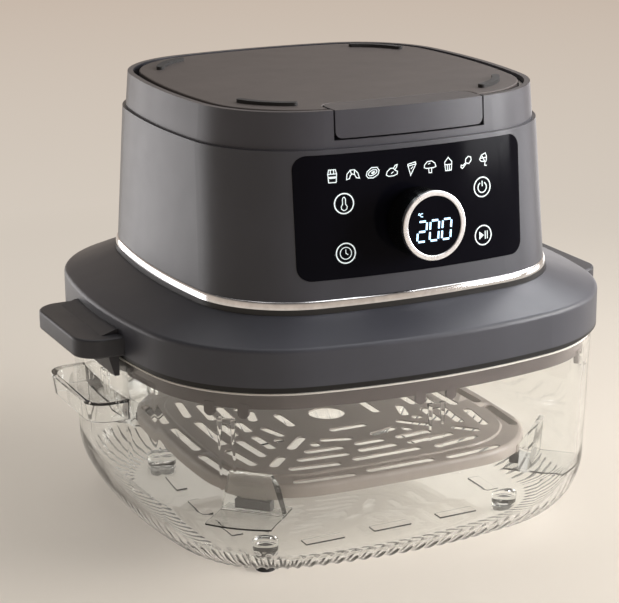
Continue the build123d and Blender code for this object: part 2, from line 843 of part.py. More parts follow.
# Reflector dome over the heater
leg_spots = []
with BuildPart() as heating_element:
    with BuildLine() as rings:
        last = element_start + element_sweep
        turn_radius = (element_outer - element_inner) / 2
        turn_centre = (element_outer + element_inner) / 2
        outer_start = polar(element_outer, element_start, element_z)
        inner_start = polar(element_inner, element_start, element_z)
        backward = polar(1, element_start - 90, 0)
        forward = polar(1, last + 90, 0)
        for foot in (outer_start, inner_start):
            leg = foot + backward * element_bend
            leg_spots.append((leg.X, leg.Y))
        outer_leg = outer_start + backward * element_bend + Vector(0, 0, element_bend)
        inner_leg = inner_start + backward * element_bend + Vector(0, 0, element_bend)
        ease = element_bend * math.sin(math.radians(45))
        slack = element_bend - ease
        leg_rise = Vector(0, 0, dome_z + terminal_height + 3 * fit_gap - outer_leg.Z)
        Line(outer_leg + leg_rise, outer_leg)
        ThreePointArc(outer_leg, outer_start + backward * ease + Vector(0, 0, slack), outer_start)
        ThreePointArc(
            outer_start,
            polar(element_outer, element_start + element_sweep / 2, element_z),
            polar(element_outer, last, element_z),
        )
        ThreePointArc(
            polar(element_outer, last, element_z),
            polar(turn_centre, last, element_z) + forward * turn_radius,
            polar(element_inner, last, element_z),
        )
        ThreePointArc(
            polar(element_inner, last, element_z),
            polar(element_inner, element_start + element_sweep / 2, element_z),
            inner_start,
        )
        ThreePointArc(inner_start, inner_start + backward * ease + Vector(0, 0, slack), inner_leg)
        Line(inner_leg, inner_leg + leg_rise)
    with BuildSketch(Plane(origin=outer_leg + leg_rise, z_dir=(0, 0, -1))) as tube_end:
        Circle(element_tube)
    sweep(tube_end.sketch, path=rings.wires()[0])
finish(heating_element.part, "heating_element")

guard_z = flange_z - guard_sheet
guard_edge = inset(skirt_inner, skirt_ledge + guard_clearance)
guard_corner_x, guard_corner_y = corner_reach(guard_edge)
guard_screw_reach = (reflector_radius + math.hypot(guard_corner_x, guard_corner_y)) / 2
guard_screw_spots = [
    (side_x * guard_screw_reach * math.sqrt(0.5), side_y * guard_screw_reach * math.sqrt(0.5))
    for side_x, side_y in four_corners
]

with BuildPart() as dome_hollow:
    tube(flange_z, dome_z - reflector_sheet, reflector_radius - reflector_sheet)
    fillet(dome_hollow.faces().sort_by(Axis.Z)[-1].edges(), reflector_bend - reflector_sheet)

with BuildPart() as dome_solid:
    tube(flange_z, dome_z, reflector_radius)
    fillet(dome_solid.faces().sort_by(Axis.Z)[-1].edges(), reflector_bend)

with BuildPart() as reflector:
    prism(inset(skirt_inner, 5 * fit_gap), flange_z, flange_z + reflector_sheet)
    add(dome_solid.part)
    add(dome_hollow.part, mode=Mode.SUBTRACT)
    tube(dome_z - 2 * reflector_sheet, dome_z, shaft_radius + shaft_clearance, mode=Mode.SUBTRACT)
    for spot in leg_spots:
        tube(dome_z - 2 * reflector_sheet, dome_z, element_tube, at=spot, mode=Mode.SUBTRACT)
    for spot in reflector_screw_spots:
        tube(flange_z, flange_z + reflector_sheet, screw_radius, at=spot, mode=Mode.SUBTRACT)
    for spot in guard_screw_spots:
        tube(flange_z, flange_z + reflector_sheet, pilot_radius, at=spot, mode=Mode.SUBTRACT)
    with BuildSketch(Plane.YZ) as probe_hole:
        with Locations((0, probe_z)):
            Circle(probe_radius)
    extrude(probe_hole.sketch, amount=-2 * reflector_radius, mode=Mode.SUBTRACT)
finish(reflector.part, "reflector")

# Ceramic bushings, clips and screws of the heater
with BuildPart() as element_terminals:
    for spot in leg_spots:
        tube(dome_z, dome_z + terminal_height, terminal_radius, element_tube, at=spot)
finish(element_terminals.part, "element_terminals")

with BuildPart() as element_clips:
    for angle in (0, 180, 270):
        with BuildSketch(Plane.XY.offset(element_z - element_tube - clip_sheet)) as clip_plan:
            with PolarLocations((clip_inner + reflector_radius) / 2, 1, start_angle=angle):
                Rectangle(reflector_radius - clip_inner, clip_width)
        extrude(clip_plan.sketch, amount=clip_sheet)
    tube(
        element_z - 2 * element_tube,
        element_z,
        reflector_radius - reflector_sheet,
        mode=Mode.INTERSECT,
    )
finish(element_clips.part, "element_clips")

with BuildPart() as reflector_screws:
    for spot in reflector_screw_spots:
        tube(collar_z, flange_z + reflector_sheet, screw_radius, at=spot)
        tube(
            flange_z + reflector_sheet,
            flange_z + reflector_sheet + screw_head_height,
            screw_head_radius,
            at=spot,
        )
finish(reflector_screws.part, "reflector_screws")

with BuildPart() as heater_guard:
    prism(guard_edge, guard_z, flange_z)
    with BuildSketch(Plane.XY.offset(guard_z)) as guard_slots:
        for ring_radius, count, bridge in guard_rings:
            gap = math.degrees((bridge + guard_slot) / ring_radius)
            for turn in range(count):
                start = 360 / count * turn
                middle = CenterArc((0, 0), ring_radius, start, 360 / count - gap, mode=Mode.PRIVATE)
                SlotArc(middle, guard_slot)
        Circle(guard_slot / 2)
    extrude(guard_slots.sketch, amount=guard_sheet, mode=Mode.SUBTRACT)
    for spot in guard_screw_spots:
        tube(guard_z, flange_z, pilot_radius, at=spot, mode=Mode.SUBTRACT)
finish(heater_guard.part, "heater_guard")

with BuildPart() as guard_screws:
    for spot in guard_screw_spots:
        tube(guard_z - pilot_head_height, guard_z, pilot_head_radius, at=spot)
        tube(guard_z, flange_z + reflector_sheet, pilot_radius, at=spot)
finish(guard_screws.part, "guard_screws")

with BuildPart() as temperature_probe:
    with BuildSketch(Plane.YZ.offset(-reflector_radius - reflector_bend)) as probe_ring:
        with Locations((0, probe_z)):
            Circle(probe_radius)
    extrude(probe_ring.sketch, amount=probe_length)
    with BuildSketch(Plane.YZ.offset(-reflector_radius)) as probe_ring:
        with Locations((0, probe_z)):
            Circle(2 * probe_radius)
    extrude(probe_ring.sketch, amount=-2 * probe_radius)
    tube(probe_z - 3 * probe_radius, probe_z + 3 * probe_radius, reflector_radius, mode=Mode.SUBTRACT)
    with BuildSketch(Plane.YZ.offset(-reflector_radius - reflector_bend)) as probe_ring:
        with Locations((0, probe_z)):
            Circle(probe_radius)
    extrude(probe_ring.sketch, amount=probe_length)
finish(temperature_probe.part, "temperature_probe")

# Deck between the heater and the tower
deck_screw_spots = [
    (side_x * (bracket_half + bracket_foot / 2), side_y * (bracket_width / 2 - mount_edge))
    for side_x, side_y in four_corners
]
mains_screw_spots = [
    (side * (mains_board_half - mount_edge), y)
    for side in (1, -1)
    for y in (mains_board_front + mount_edge, mains_board_back - mount_edge)
]
mains_z = deck_z + mains_standoff

with BuildPart() as inner_deck:
    prism(inset(spigot_bore, fit_gap), neck_z, deck_z)
    tube(neck_z, deck_z, deck_hole_radius, mode=Mode.SUBTRACT)
    for spot in mains_screw_spots:
        tube(deck_z, mains_z, standoff_radius, at=spot)
        tube(neck_z, mains_z, pilot_radius, at=spot, mode=Mode.SUBTRACT)
    for spot in deck_screw_spots:
        tube(neck_z, deck_z, pilot_radius, at=spot, mode=Mode.SUBTRACT)
    for spot in shell_screw_spots:
        tube(neck_z, deck_z, screw_radius, at=spot, mode=Mode.SUBTRACT)
finish(inner_deck.part, "inner_deck")

boss_top_z = neck_z + screw_length + boss_cover
with BuildPart() as shell_screws:
    for spot in shell_screw_spots:
        tube(
            neck_z - neck_thickness - screw_head_height,
            neck_z - neck_thickness,
            screw_head_radius,
            at=spot,
        )
        tube(neck_z - neck_thickness, boss_top_z - boss_cover, screw_radius, at=spot)
finish(shell_screws.part, "shell_screws")


def panel_block(grow):
    """Rounded block through the front wall, grown by a distance all round."""
    with BuildPart() as front_block:
        with BuildSketch(Plane.XZ) as face:
            with Locations((0, (panel_low_z + panel_high_z) / 2)):
                RectangleRounded(
                    2 * (panel_half + grow),
                    panel_high_z - panel_low_z + 2 * grow,
                    panel_corner + grow,
                )
        extrude(face.sketch, amount=2 * tower_foot.half_y)
    return front_block.part


def grille_block(grow):
    """Rounded block through the rear wall, grown by a distance all round."""
    with BuildPart() as rear_block:
        with BuildSketch(Plane.XZ) as face:
            with Locations((0, (grille_low_z + grille_high_z) / 2)):
                RectangleRounded(
                    2 * (grille_half + grow),
                    grille_high_z - grille_low_z + 2 * grow,
                    grille_corner + grow,
                )
        extrude(face.sketch, amount=-2 * tower_foot.half_y)
    return rear_block.part


def rear_barrel(radius, near_y, far_y, mode=Mode.ADD):
    """Round bar through the rear wall where the cord comes out."""
    with BuildSketch(Plane.XZ.offset(-near_y)) as ring:
        with Locations((0, gland_z)):
            Circle(radius)
    extrude(ring.sketch, amount=near_y - far_y, mode=mode)


# Tower shell around the electronics
board_low = -board_setback - board_sheet
standoff_spots = [
    (side_x * standoff_x, side_y * standoff_rise) for side_x, side_y in four_corners
]
standoff_top = -panel_sheet - (standoff_x + 1.2 * standoff_radius) ** 2 / (2 * tower_head.side)
dial_hole_radius = dial_tail_radius + dial_hole_gap

with BuildPart() as panel_recess:
    add(tower_skin(1, panel_sheet - panel_proud))
    add(panel_block(panel_clearance), mode=Mode.INTERSECT)

with BuildPart() as tower_shell:
    prism(spigot, neck_z, tower_z)
    frustum(tower_foot, tower_head, tower_z, seam_z)
    prism(spigot_bore, neck_z, tower_z, mode=Mode.SUBTRACT)
    frustum(tower_bore_foot, tower_bore_head, tower_z, seam_z, mode=Mode.SUBTRACT)
    add(panel_recess.part, mode=Mode.SUBTRACT)
    barrel(dial_plane, -3 * shell_wall, shell_wall, dial_hole_radius, mode=Mode.SUBTRACT)
    add(grille_block(0), mode=Mode.SUBTRACT)
    rear_barrel(gland_radius, tower_foot.half_y - 4 * shell_wall, 2 * tower_foot.half_y, mode=Mode.SUBTRACT)
    for spot in shell_screw_spots:
        tube(deck_z, boss_top_z, boss_radius, at=spot)
        tube(deck_z, boss_top_z - boss_cover, screw_radius, at=spot, mode=Mode.SUBTRACT)
    for spot in standoff_spots:
        with BuildSketch(dial_plane.offset(-board_setback)) as post:
            with Locations(spot):
                Circle(standoff_radius)
                Circle(pilot_radius, mode=Mode.SUBTRACT)
        extrude(post.sketch, amount=board_setback + standoff_top)
finish(tower_shell.part, "tower_shell")

# Trims around the foot of the tower
with BuildPart() as step_trim:
    prism(inset(neck, step_inset), neck_z, chrome_z)
    prism(inset(spigot, -fit_gap), neck_z, chrome_z, mode=Mode.SUBTRACT)
finish(step_trim.part, "step_trim")

with BuildPart() as chrome_ring:
    prism(inset(tower_foot, -chrome_proud), chrome_z, tower_z)
    prism(inset(spigot, -fit_gap), chrome_z, tower_z, mode=Mode.SUBTRACT)
finish(chrome_ring.part, "chrome_ring")

# Glossy control panel
with BuildPart() as control_panel:
    add(tower_skin(panel_proud, panel_sheet - panel_proud))
    add(panel_block(0), mode=Mode.INTERSECT)
    barrel(dial_plane, -3 * shell_wall, shell_wall, dial_hole_radius, mode=Mode.SUBTRACT)
finish(control_panel.part, "control_panel")

# Dial that turns on a fixed hub
hub_bore = hub_radius + running_gap
with BuildPart() as dial_ring:
    barrel(dial_plane, dial_standoff, dial_standoff + dial_depth, dial_radius, hub_bore)
    barrel(dial_plane, -encoder_depth, dial_standoff, dial_tail_radius, hub_bore)
finish(dial_ring.part, "dial_ring")

with BuildPart() as dial_bezel:
    barrel(
        dial_plane,
        dial_standoff + dial_depth,
        dial_standoff + dial_depth + bezel_height,
        bezel_radius,
        hub_bore,
    )
    fillet(dial_bezel.edges().filter_by(GeomType.CIRCLE).sort_by(Axis.Y)[0:2], 0.6)
finish(dial_bezel.part, "dial_bezel")

with BuildPart() as encoder_disc:
    barrel(dial_plane, -encoder_depth - encoder_sheet, -encoder_depth, encoder_radius, hub_bore)
finish(encoder_disc.part, "encoder_disc")

with BuildPart() as dial_hub:
    barrel(dial_plane, -board_setback, hub_rise, hub_radius)
    with BuildSketch(dial_plane.offset(hub_rise)) as window:
        Rectangle(2 * display_half, 2 * display_half_height)
    extrude(window.sketch, amount=-display_sheet, mode=Mode.SUBTRACT)
finish(dial_hub.part, "dial_hub")

with BuildPart() as digit_display:
    with BuildSketch(dial_plane.offset(hub_rise)) as window:
        Rectangle(2 * display_half, 2 * display_half_height)
    extrude(window.sketch, amount=-display_sheet)
finish(digit_display.part, "digit_display")

with BuildPart() as dial_lens:
    barrel(dial_plane, hub_rise, hub_rise + hub_lens_sheet, hub_radius)
finish(dial_lens.part, "dial_lens")

# Control board on the tower's standoffs
with BuildPart() as control_board:
    with BuildSketch(dial_plane.offset(board_low)) as board:
        RectangleRounded(2 * board_half, 2 * board_half_height, 2)
        with Locations(*standoff_spots):
            Circle(pilot_radius, mode=Mode.SUBTRACT)
    extrude(board.sketch, amount=board_sheet)
finish(control_board.part, "control_board")

with BuildPart() as board_screws:
    for spot in standoff_spots:
        with BuildSketch(dial_plane.offset(board_low)) as screw_end:
            with Locations(spot):
                Circle(pilot_head_radius)
        extrude(screw_end.sketch, amount=-pilot_head_height)
        with BuildSketch(dial_plane.offset(board_low)) as screw_end:
            with Locations(spot):
                Circle(pilot_radius)
        extrude(screw_end.sketch, amount=pilot_length)
finish(board_screws.part, "board_screws")

# Motor on its bracket
stator_z = bracket_z + bracket_sheet
stator_top_z = stator_z + stator_height
limb_y = (stator_back - stator_limb, stator_back)
bridge_screw_spots = [(bridge_screw_x, 0), (-bridge_screw_x, 0)]

with BuildPart() as motor_bracket:
    block((-bracket_half, bracket_half), (-bracket_width / 2, bracket_width / 2), (deck_z, stator_z))
    block(
        (bracket_sheet - bracket_half, bracket_half - bracket_sheet),
        (-bracket_width / 2, bracket_width / 2),
        (deck_z, bracket_z),
        mode=Mode.SUBTRACT,
    )
    for side in (1, -1):
        feet = sorted((side * bracket_half, side * (bracket_half + bracket_foot)))
        block(feet, (-bracket_width / 2, bracket_width / 2), (deck_z, deck_z + bracket_sheet))
    tube(bracket_z, stator_z, bush_radius, mode=Mode.SUBTRACT)
    for spot in bridge_screw_spots:
        tube(bracket_z, stator_z, pilot_radius, at=spot, mode=Mode.SUBTRACT)
    for spot in deck_screw_spots:
        tube(deck_z, deck_z + bracket_sheet, pilot_radius, at=spot, mode=Mode.SUBTRACT)
finish(motor_bracket.part, "motor_bracket")

with BuildPart() as motor_stator:
    block((-stator_half, stator_half), (-stator_front, stator_back), (stator_z, stator_top_z))
    tube(stator_z, stator_top_z, rotor_radius + rotor_gap, mode=Mode.SUBTRACT)
    block(
        (-stator_window, stator_window),
        (stator_window_front, stator_back - stator_limb),
        (stator_z, stator_top_z),
        mode=Mode.SUBTRACT,
    )
    for spot in bridge_screw_spots:
        tube(stator_z, stator_top_z, pilot_radius, at=spot, mode=Mode.SUBTRACT)
finish(motor_stator.part, "motor_stator")

with BuildPart() as motor_coil:
    block(
        (-coil_half, coil_half),
        (limb_y[0] - coil_wrap, limb_y[1] + coil_wrap),
        (stator_z - coil_wrap, stator_top_z + coil_wrap),
    )
    fillet(motor_coil.edges().filter_by(Axis.X), coil_round)
    block((-coil_half, coil_half), limb_y, (stator_z, stator_top_z), mode=Mode.SUBTRACT)
finish(motor_coil.part, "motor_coil")

with BuildPart() as bearing_bridge:
    block(
        (-bridge_half, bridge_half),
        (-bridge_width / 2, bridge_width / 2),
        (stator_top_z, stator_top_z + bracket_sheet),
    )
    tube(stator_top_z, stator_top_z + bracket_sheet, bush_radius, mode=Mode.SUBTRACT)
    for spot in bridge_screw_spots:
        tube(stator_top_z, stator_top_z + bracket_sheet, pilot_radius, at=spot, mode=Mode.SUBTRACT)
finish(bearing_bridge.part, "bearing_bridge")

bush_bore = shaft_radius + running_gap
with BuildPart() as shaft_bushes:
    tube(stator_z + 2 - bush_length, stator_z + 2, bush_radius, bush_bore)
    tube(stator_top_z - 2, stator_top_z + bush_length - 2, bush_radius, bush_bore)
finish(shaft_bushes.part, "shaft_bushes")

with BuildPart() as chassis_screws:
    for spot in bridge_screw_spots:
        tube(bracket_z, stator_top_z + bracket_sheet, pilot_radius, at=spot)
        tube(
            stator_top_z + bracket_sheet,
            stator_top_z + bracket_sheet + pilot_head_height,
            pilot_head_radius,
            at=spot,
        )
    for spot in deck_screw_spots:
        tube(neck_z, deck_z + bracket_sheet, pilot_radius, at=spot)
        tube(
            deck_z + bracket_sheet,
            deck_z + bracket_sheet + pilot_head_height,
            pilot_head_radius,
            at=spot,
        )
    for spot in mains_screw_spots:
        tube(mains_z - pilot_length, mains_z + board_sheet, pilot_radius, at=spot)
        tube(
            mains_z + board_sheet,
            mains_z + board_sheet + pilot_head_height,
            pilot_head_radius,
            at=spot,
        )
finish(chassis_screws.part, "chassis_screws")

with BuildPart() as motor_rotor:
    tube(stator_z + rotor_lift, stator_top_z - rotor_lift, rotor_radius, shaft_radius)
finish(motor_rotor.part, "motor_rotor")

with BuildPart() as fan_shaft:
    tube(shaft_low_z, shaft_low_z + shaft_length, shaft_radius)
finish(fan_shaft.part, "fan_shaft")

fan_hub_low_z = fan_disc_z - fan_blade_height
with BuildPart() as convection_fan:
    tube(fan_disc_z, fan_disc_z + fan_disc_sheet, fan_radius)
    with BuildSketch(Plane.XY.offset(fan_hub_low_z)) as blades:
        with PolarLocations(0.72 * fan_radius, fan_blades):
            Rectangle(0.5 * fan_radius, fan_blade_sheet, rotation=24)
        Circle(fan_hub_radius)
    extrude(blades.sketch, amount=fan_blade_height)
    tube(fan_hub_low_z, fan_disc_z + fan_disc_sheet, shaft_radius, mode=Mode.SUBTRACT)
finish(convection_fan.part, "convection_fan")

with BuildPart() as fan_nut:
    with BuildSketch(Plane.XY.offset(fan_hub_low_z - nut_height)) as nut:
        RegularPolygon(nut_radius, 6)
        Circle(shaft_radius, mode=Mode.SUBTRACT)
    extrude(nut.sketch, amount=nut_height)
finish(fan_nut.part, "fan_nut")

cooler_radius = bracket_half - bracket_sheet - cooler_clearance
with BuildPart() as cooling_fan:
    tube(cooler_z, cooler_z + cooler_height, fan_hub_radius + 3)
    with PolarLocations((cooler_radius + fan_hub_radius) / 2, cooler_blades):
        with Locations((0, 0, cooler_z + cooler_height / 2)):
            Box(
                cooler_radius - fan_hub_radius,
                fan_blade_sheet,
                0.95 * cooler_height / math.cos(math.radians(40)),
                rotation=(40, 0, 0),
            )
    tube(cooler_z - 1, cooler_z + cooler_height + 1, shaft_radius, mode=Mode.SUBTRACT)
finish(cooling_fan.part, "cooling_fan")

# Mains board and its larger parts
with BuildPart() as mains_board:
    with BuildSketch(Plane.XY.offset(mains_z)) as board:
        with Locations((0, (mains_board_front + mains_board_back) / 2)):
            RectangleRounded(2 * mains_board_half, mains_board_back - mains_board_front, 3)
        with Locations(*mains_screw_spots):
            Circle(pilot_radius, mode=Mode.SUBTRACT)
    extrude(board.sketch, amount=board_sheet)
finish(mains_board.part, "mains_board")

parts_z = mains_z + board_sheet
with BuildPart() as mains_parts:
    for middle_x, back, width, depth, height in mains_blocks:
        block(
            (middle_x - width / 2, middle_x + width / 2),
            (mains_board_front + back, mains_board_front + back + depth),
            (parts_z, parts_z + height),
        )
    for middle_x, back, radius, height in mains_cans:
        tube(parts_z, parts_z + height, radius, at=(middle_x, mains_board_front + back))
finish(mains_parts.part, "mains_parts")

with BuildPart() as thermal_cutout:
    tube(deck_z, deck_z + cutout_height, cutout_radius, at=(cutout_x, cutout_y))
    tube(deck_z + cutout_height, deck_z + cutout_height + 3, cutout_radius / 2, at=(cutout_x, cutout_y))
finish(thermal_cutout.part, "thermal_cutout")

# Rear grille with louvres, held by a lip inside the wall
with BuildPart() as grille_rim:
    add(tower_skin(-shell_wall, shell_wall + grille_lip_sheet))
    add(grille_block(grille_lip), mode=Mode.INTERSECT)

with BuildPart() as rear_grille:
    add(tower_skin(0, shell_wall))
    add(grille_block(0), mode=Mode.INTERSECT)
    add(grille_rim.part)
    with BuildSketch(Plane.XZ) as louvres:
        pitch = (grille_high_z - grille_low_z - 2 * louvre_margin) / (louvre_count - 1)
        for row in range(louvre_count):
            with Locations((0, grille_low_z + louvre_margin + pitch * row)):
                SlotOverall(2 * (grille_half - louvre_margin), louvre_width)
    extrude(louvres.sketch, amount=-2 * tower_foot.half_y, mode=Mode.SUBTRACT)
finish(rear_grille.part, "rear_grille")

# Grommet for the mains cord
wall_y = tower_outline(gland_z).half_y
with BuildPart() as cord_gland:
    rear_barrel(gland_flange_radius, wall_y - shell_wall - gland_flange, wall_y + gland_flange)
    add(tower_skin(0, shell_wall), mode=Mode.SUBTRACT)
    rear_barrel(gland_radius, wall_y - shell_wall - gland_flange, wall_y + gland_flange)
    rear_barrel(gland_bore, wall_y - 3 * shell_wall, wall_y + 3 * shell_wall, mode=Mode.SUBTRACT)
finish(cord_gland.part, "cord_gland")

# Cap over the tower with a groove for the bail
notch_x = grip_half + grip_gap
notch_y = grip_back_y + grip_gap
notch_z = top_z - grip_drop - grip_gap
plateau_z = top_z - top_plate_sheet


def notch_block(half_x, back_y, corner, low_z, high_z):
    """Block open to the front with rounded back corners."""
    with BuildPart() as front_notch:
        with BuildSketch(Plane.XY.offset(low_z)) as plan:
            with Locations((0, back_y - cap_foot.half_y)):
                RectangleRounded(2 * half_x, 2 * cap_foot.half_y, corner)
        extrude(plan.sketch, amount=high_z - low_z)
    return front_notch.part


with BuildPart() as cap_hollow:
    prism(inset(groove_inner, cap_wall), groove_z - cap_floor, plateau_z - cap_wall)
    add(
        notch_block(
            notch_x + cap_wall,
            notch_y + cap_wall,
            grip_corner + grip_gap + cap_wall,
            groove_z - cap_floor,
            plateau_z,
        ),
        mode=Mode.SUBTRACT,
    )

with BuildPart() as cap_plateau:
    prism(groove_inner, groove_z, plateau_z)
    add(cap_hollow.part, mode=Mode.SUBTRACT)

pin_near = groove_inner.half_x - cap_wall
pin_far = cap_head.half_x - pin_cover


def pivot_bars(radius, near_x, far_x, mode=Mode.ADD):
    """Two bars on the bail's pivot, one on each side."""
    for side in (1, -1):
        with BuildSketch(Plane.YZ.offset(side * near_x)) as bar:
            with Locations((0, pivot_z)):
                Circle(radius)
        extrude(bar.sketch, amount=side * (far_x - near_x), mode=mode)


with BuildPart() as top_cap:
    frustum(cap_foot, cap_head, cap_z, top_z)
    prism(inset(tower_head, seam_inset), seam_z, cap_z)
    prism(inset(tower_bore_head, fit_gap), seam_z - spigot_drop, seam_z)
    prism(
        inset(tower_bore_head, fit_gap + spigot_wall),
        seam_z - spigot_drop,
        groove_z - cap_floor,
        mode=Mode.SUBTRACT,
    )
    add(cap_hollow.part, mode=Mode.SUBTRACT)
    prism(groove_outer, groove_z, top_z, mode=Mode.SUBTRACT)
    add(cap_plateau.part)
    add(
        notch_block(notch_x, notch_y, grip_corner + grip_gap, notch_z, top_z),
        mode=Mode.SUBTRACT,
    )
    pivot_bars(bail_pin_radius, pin_near, pin_far, mode=Mode.SUBTRACT)
finish(top_cap.part, "top_cap")

# Flat top with four curved rests
with BuildPart() as top_plate:
    prism(groove_inner, plateau_z, top_z)
    add(
        notch_block(notch_x, notch_y, grip_corner + grip_gap, plateau_z, top_z),
        mode=Mode.SUBTRACT,
    )
    fillet(top_plate.faces().sort_by(Axis.Z)[-1].edges(), top_edge)
finish(top_plate.part, "top_plate")

with BuildPart() as top_feet:
    with BuildSketch(Plane.XY.offset(top_z)) as arcs:
        for quarter in range(4):
            angle = 90 * quarter + 45
            centre = polar(foot_arc_centre * math.sqrt(2), angle, 0)
            start = angle - foot_arc_sweep / 2
            middle = CenterArc(centre, foot_arc_radius, start, foot_arc_sweep, mode=Mode.PRIVATE)
            SlotArc(middle, foot_arc_width)
    extrude(arcs.sketch, amount=foot_arc_rise)
finish(top_feet.part, "top_feet")

# Bail handle: pins in the cap, two arms in the groove and the grip at the front
with BuildPart() as bail_pins:
    pivot_bars(bail_pin_radius, pin_near, pin_far)
finish(bail_pins.part, "bail_pins")

arm_outer = inset(cap_head, bail_inset)
arm_inner = inset(arm_outer, bail_sheet)
arm_end_x = grip_half - grip_wall - grip_arm_hold
with BuildPart() as bail_arms:
    prism(arm_outer, pivot_z - bail_height / 2, pivot_z + bail_height / 2)
    prism(
        arm_inner,
        pivot_z - bail_height / 2,
        pivot_z + bail_height / 2,
        mode=Mode.SUBTRACT,
    )
    block((-cap_foot.half_x, cap_foot.half_x), (0, cap_foot.half_y), (cap_z, top_z), mode=Mode.SUBTRACT)
    block((-arm_end_x, arm_end_x), (-cap_foot.half_y, 0), (cap_z, top_z), mode=Mode.SUBTRACT)
    pivot_bars(bail_eye_radius, arm_inner.half_x, arm_outer.half_x)
    pivot_bars(
        bail_pin_radius + running_gap,
        arm_inner.half_x - bail_sheet,
        arm_outer.half_x + bail_sheet,
        mode=Mode.SUBTRACT,
    )
finish(bail_arms.part, "bail_arms")


def grip_core(gap, low_z, high_z):
    """Space inside the grip's walls, shrunk by a gap."""
    with BuildPart() as core:
        prism(inset(cap_head, grip_wall + gap), low_z, high_z)
        add(
            notch_block(
                grip_half - grip_wall - gap,
                grip_back_y - grip_wall - gap,
                grip_corner - grip_wall - gap,
                low_z,
                high_z,
            ),
            mode=Mode.INTERSECT,
        )
    return core.part


grip_z = top_z - grip_drop
with BuildPart() as bail_grip:
    frustum(cap_foot, cap_head, cap_z, top_z)
    add(notch_block(grip_half, grip_back_y, grip_corner, cap_z, top_z), mode=Mode.INTERSECT)
    with BuildSketch(Plane.XZ) as face:
        with Locations((0, grip_z + cap_height)):
            RectangleRounded(2 * grip_half, 2 * cap_height, grip_edge)
    extrude(face.sketch, amount=2 * cap_foot.half_y, mode=Mode.INTERSECT)
    add(grip_core(0, grip_z, plateau_z), mode=Mode.SUBTRACT)
    add(bail_arms.part, mode=Mode.SUBTRACT)
finish(bail_grip.part, "bail_grip")

with BuildPart() as grip_cover:
    add(grip_core(fit_gap, grip_z, grip_z + cover_sheet))
finish(grip_cover.part, "grip_cover")
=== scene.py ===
"""Looks of a glass air fryer: pressed glass, plastics, panel signs, digits, light and camera.

Sizes are written in millimetres, measured from the same origin as the frame, and
turned into metres where a mesh is made.
"""
import json
import math

import bmesh
import bpy
from mathutils import Matrix, Vector


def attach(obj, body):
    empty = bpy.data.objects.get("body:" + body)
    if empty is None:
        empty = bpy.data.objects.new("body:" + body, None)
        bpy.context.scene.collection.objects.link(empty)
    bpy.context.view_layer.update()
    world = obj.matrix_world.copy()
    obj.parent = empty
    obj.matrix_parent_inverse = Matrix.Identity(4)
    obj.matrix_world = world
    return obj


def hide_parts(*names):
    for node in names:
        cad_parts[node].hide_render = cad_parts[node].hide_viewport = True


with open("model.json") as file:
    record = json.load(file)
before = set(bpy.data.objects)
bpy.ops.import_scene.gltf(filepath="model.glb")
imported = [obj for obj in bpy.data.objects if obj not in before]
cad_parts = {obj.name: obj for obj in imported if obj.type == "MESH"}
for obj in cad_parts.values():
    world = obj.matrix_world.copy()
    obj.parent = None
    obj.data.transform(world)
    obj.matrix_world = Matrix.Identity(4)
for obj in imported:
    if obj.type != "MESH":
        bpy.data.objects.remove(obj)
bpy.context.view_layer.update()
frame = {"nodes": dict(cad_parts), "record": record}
nodes = frame["nodes"]
MM = 0.001

# Plan outlines of the shells: half width, half depth, side radius, corner radius
COLLAR = (155.0, 150.0, 390.0, 90.0)
TOWER_FOOT = (118.4, 120.8, 440.0, 62.0)

# Levels of the bowl and its draft
RIM_Z = 127.6
FLOOR_Z = 5.0
RIM_INSET = 2.7
DRAFT = 4.5
WALL = 4.0
FLOOR = 5.0
BEND = 42.0

# Painted shade along the collar's lower edge, black where the shadow gap above the glass rim falls: the
# levels between which it ends, and its colour
PAINTED_SHADE_Z = (131.4, 131.8)
PAINTED_SHADE_COLOUR = (0.002, 0.002, 0.002, 1)

# The four corners and the four sides, as directions
CORNERS = [(1, 1), (1, -1), (-1, 1), (-1, -1)]
SIDES = [(1, 0), (-1, 0), (0, 1), (0, -1)]

# Camera at the photograph's viewing angle: focal length and frame width in pixels, place and directions
FOCAL_LENGTH = 1998.25
FRAME_WIDTH = 619
SENSOR = 36.0
EYE = (-0.53834, -1.09174, 0.4926)
EYE_RIGHT = (0.8999, -0.4361, -0.0059)
EYE_AHEAD = (0.4167, 0.8639, -0.2830)


def add_object(name, data):
    """New object in the scene."""
    obj = bpy.data.objects.new(name, data)
    bpy.context.scene.collection.objects.link(obj)
    return obj


def make_camera():
    """Camera of the photograph."""
    data = bpy.data.cameras.new("camera")
    data.sensor_width = SENSOR
    data.sensor_fit = "HORIZONTAL"
    data.lens = FOCAL_LENGTH / FRAME_WIDTH * SENSOR
    data.clip_start = 0.05
    data.clip_end = 50.0
    right = Vector(EYE_RIGHT).normalized()
    ahead = Vector(EYE_AHEAD).normalized()
    up = right.cross(ahead).normalized()
    right = ahead.cross(up).normalized()
    turn = Matrix((right, up, -ahead)).transposed().to_4x4()
    eye = add_object("camera", data)
    eye.matrix_world = Matrix.Translation(EYE) @ turn
    bpy.context.scene.camera = eye


# Materials
def to_linear(colour):
    """Linear colour of an 8-bit screen colour."""
    out = []
    for value in colour:
        c = value / 255
        out.append(c / 12.92 if c <= 0.04045 else ((c + 0.055) / 1.055) ** 2.4)
    return (*out, 1.0)


def shade(colour, factor):
    """The same colour, lighter or darker."""
    return (colour[0] * factor, colour[1] * factor, colour[2] * factor, 1.0)


def add_node(tree, kind, **inputs):
    """New shader node, with its inputs linked or set by name."""
    made = tree.nodes.new(kind)
    for name, value in inputs.items():
        socket = made.inputs[name.replace("_", " ")]
        if isinstance(value, bpy.types.NodeSocket):
            tree.links.new(value, socket)
        else:
            socket.default_value = value
    return made


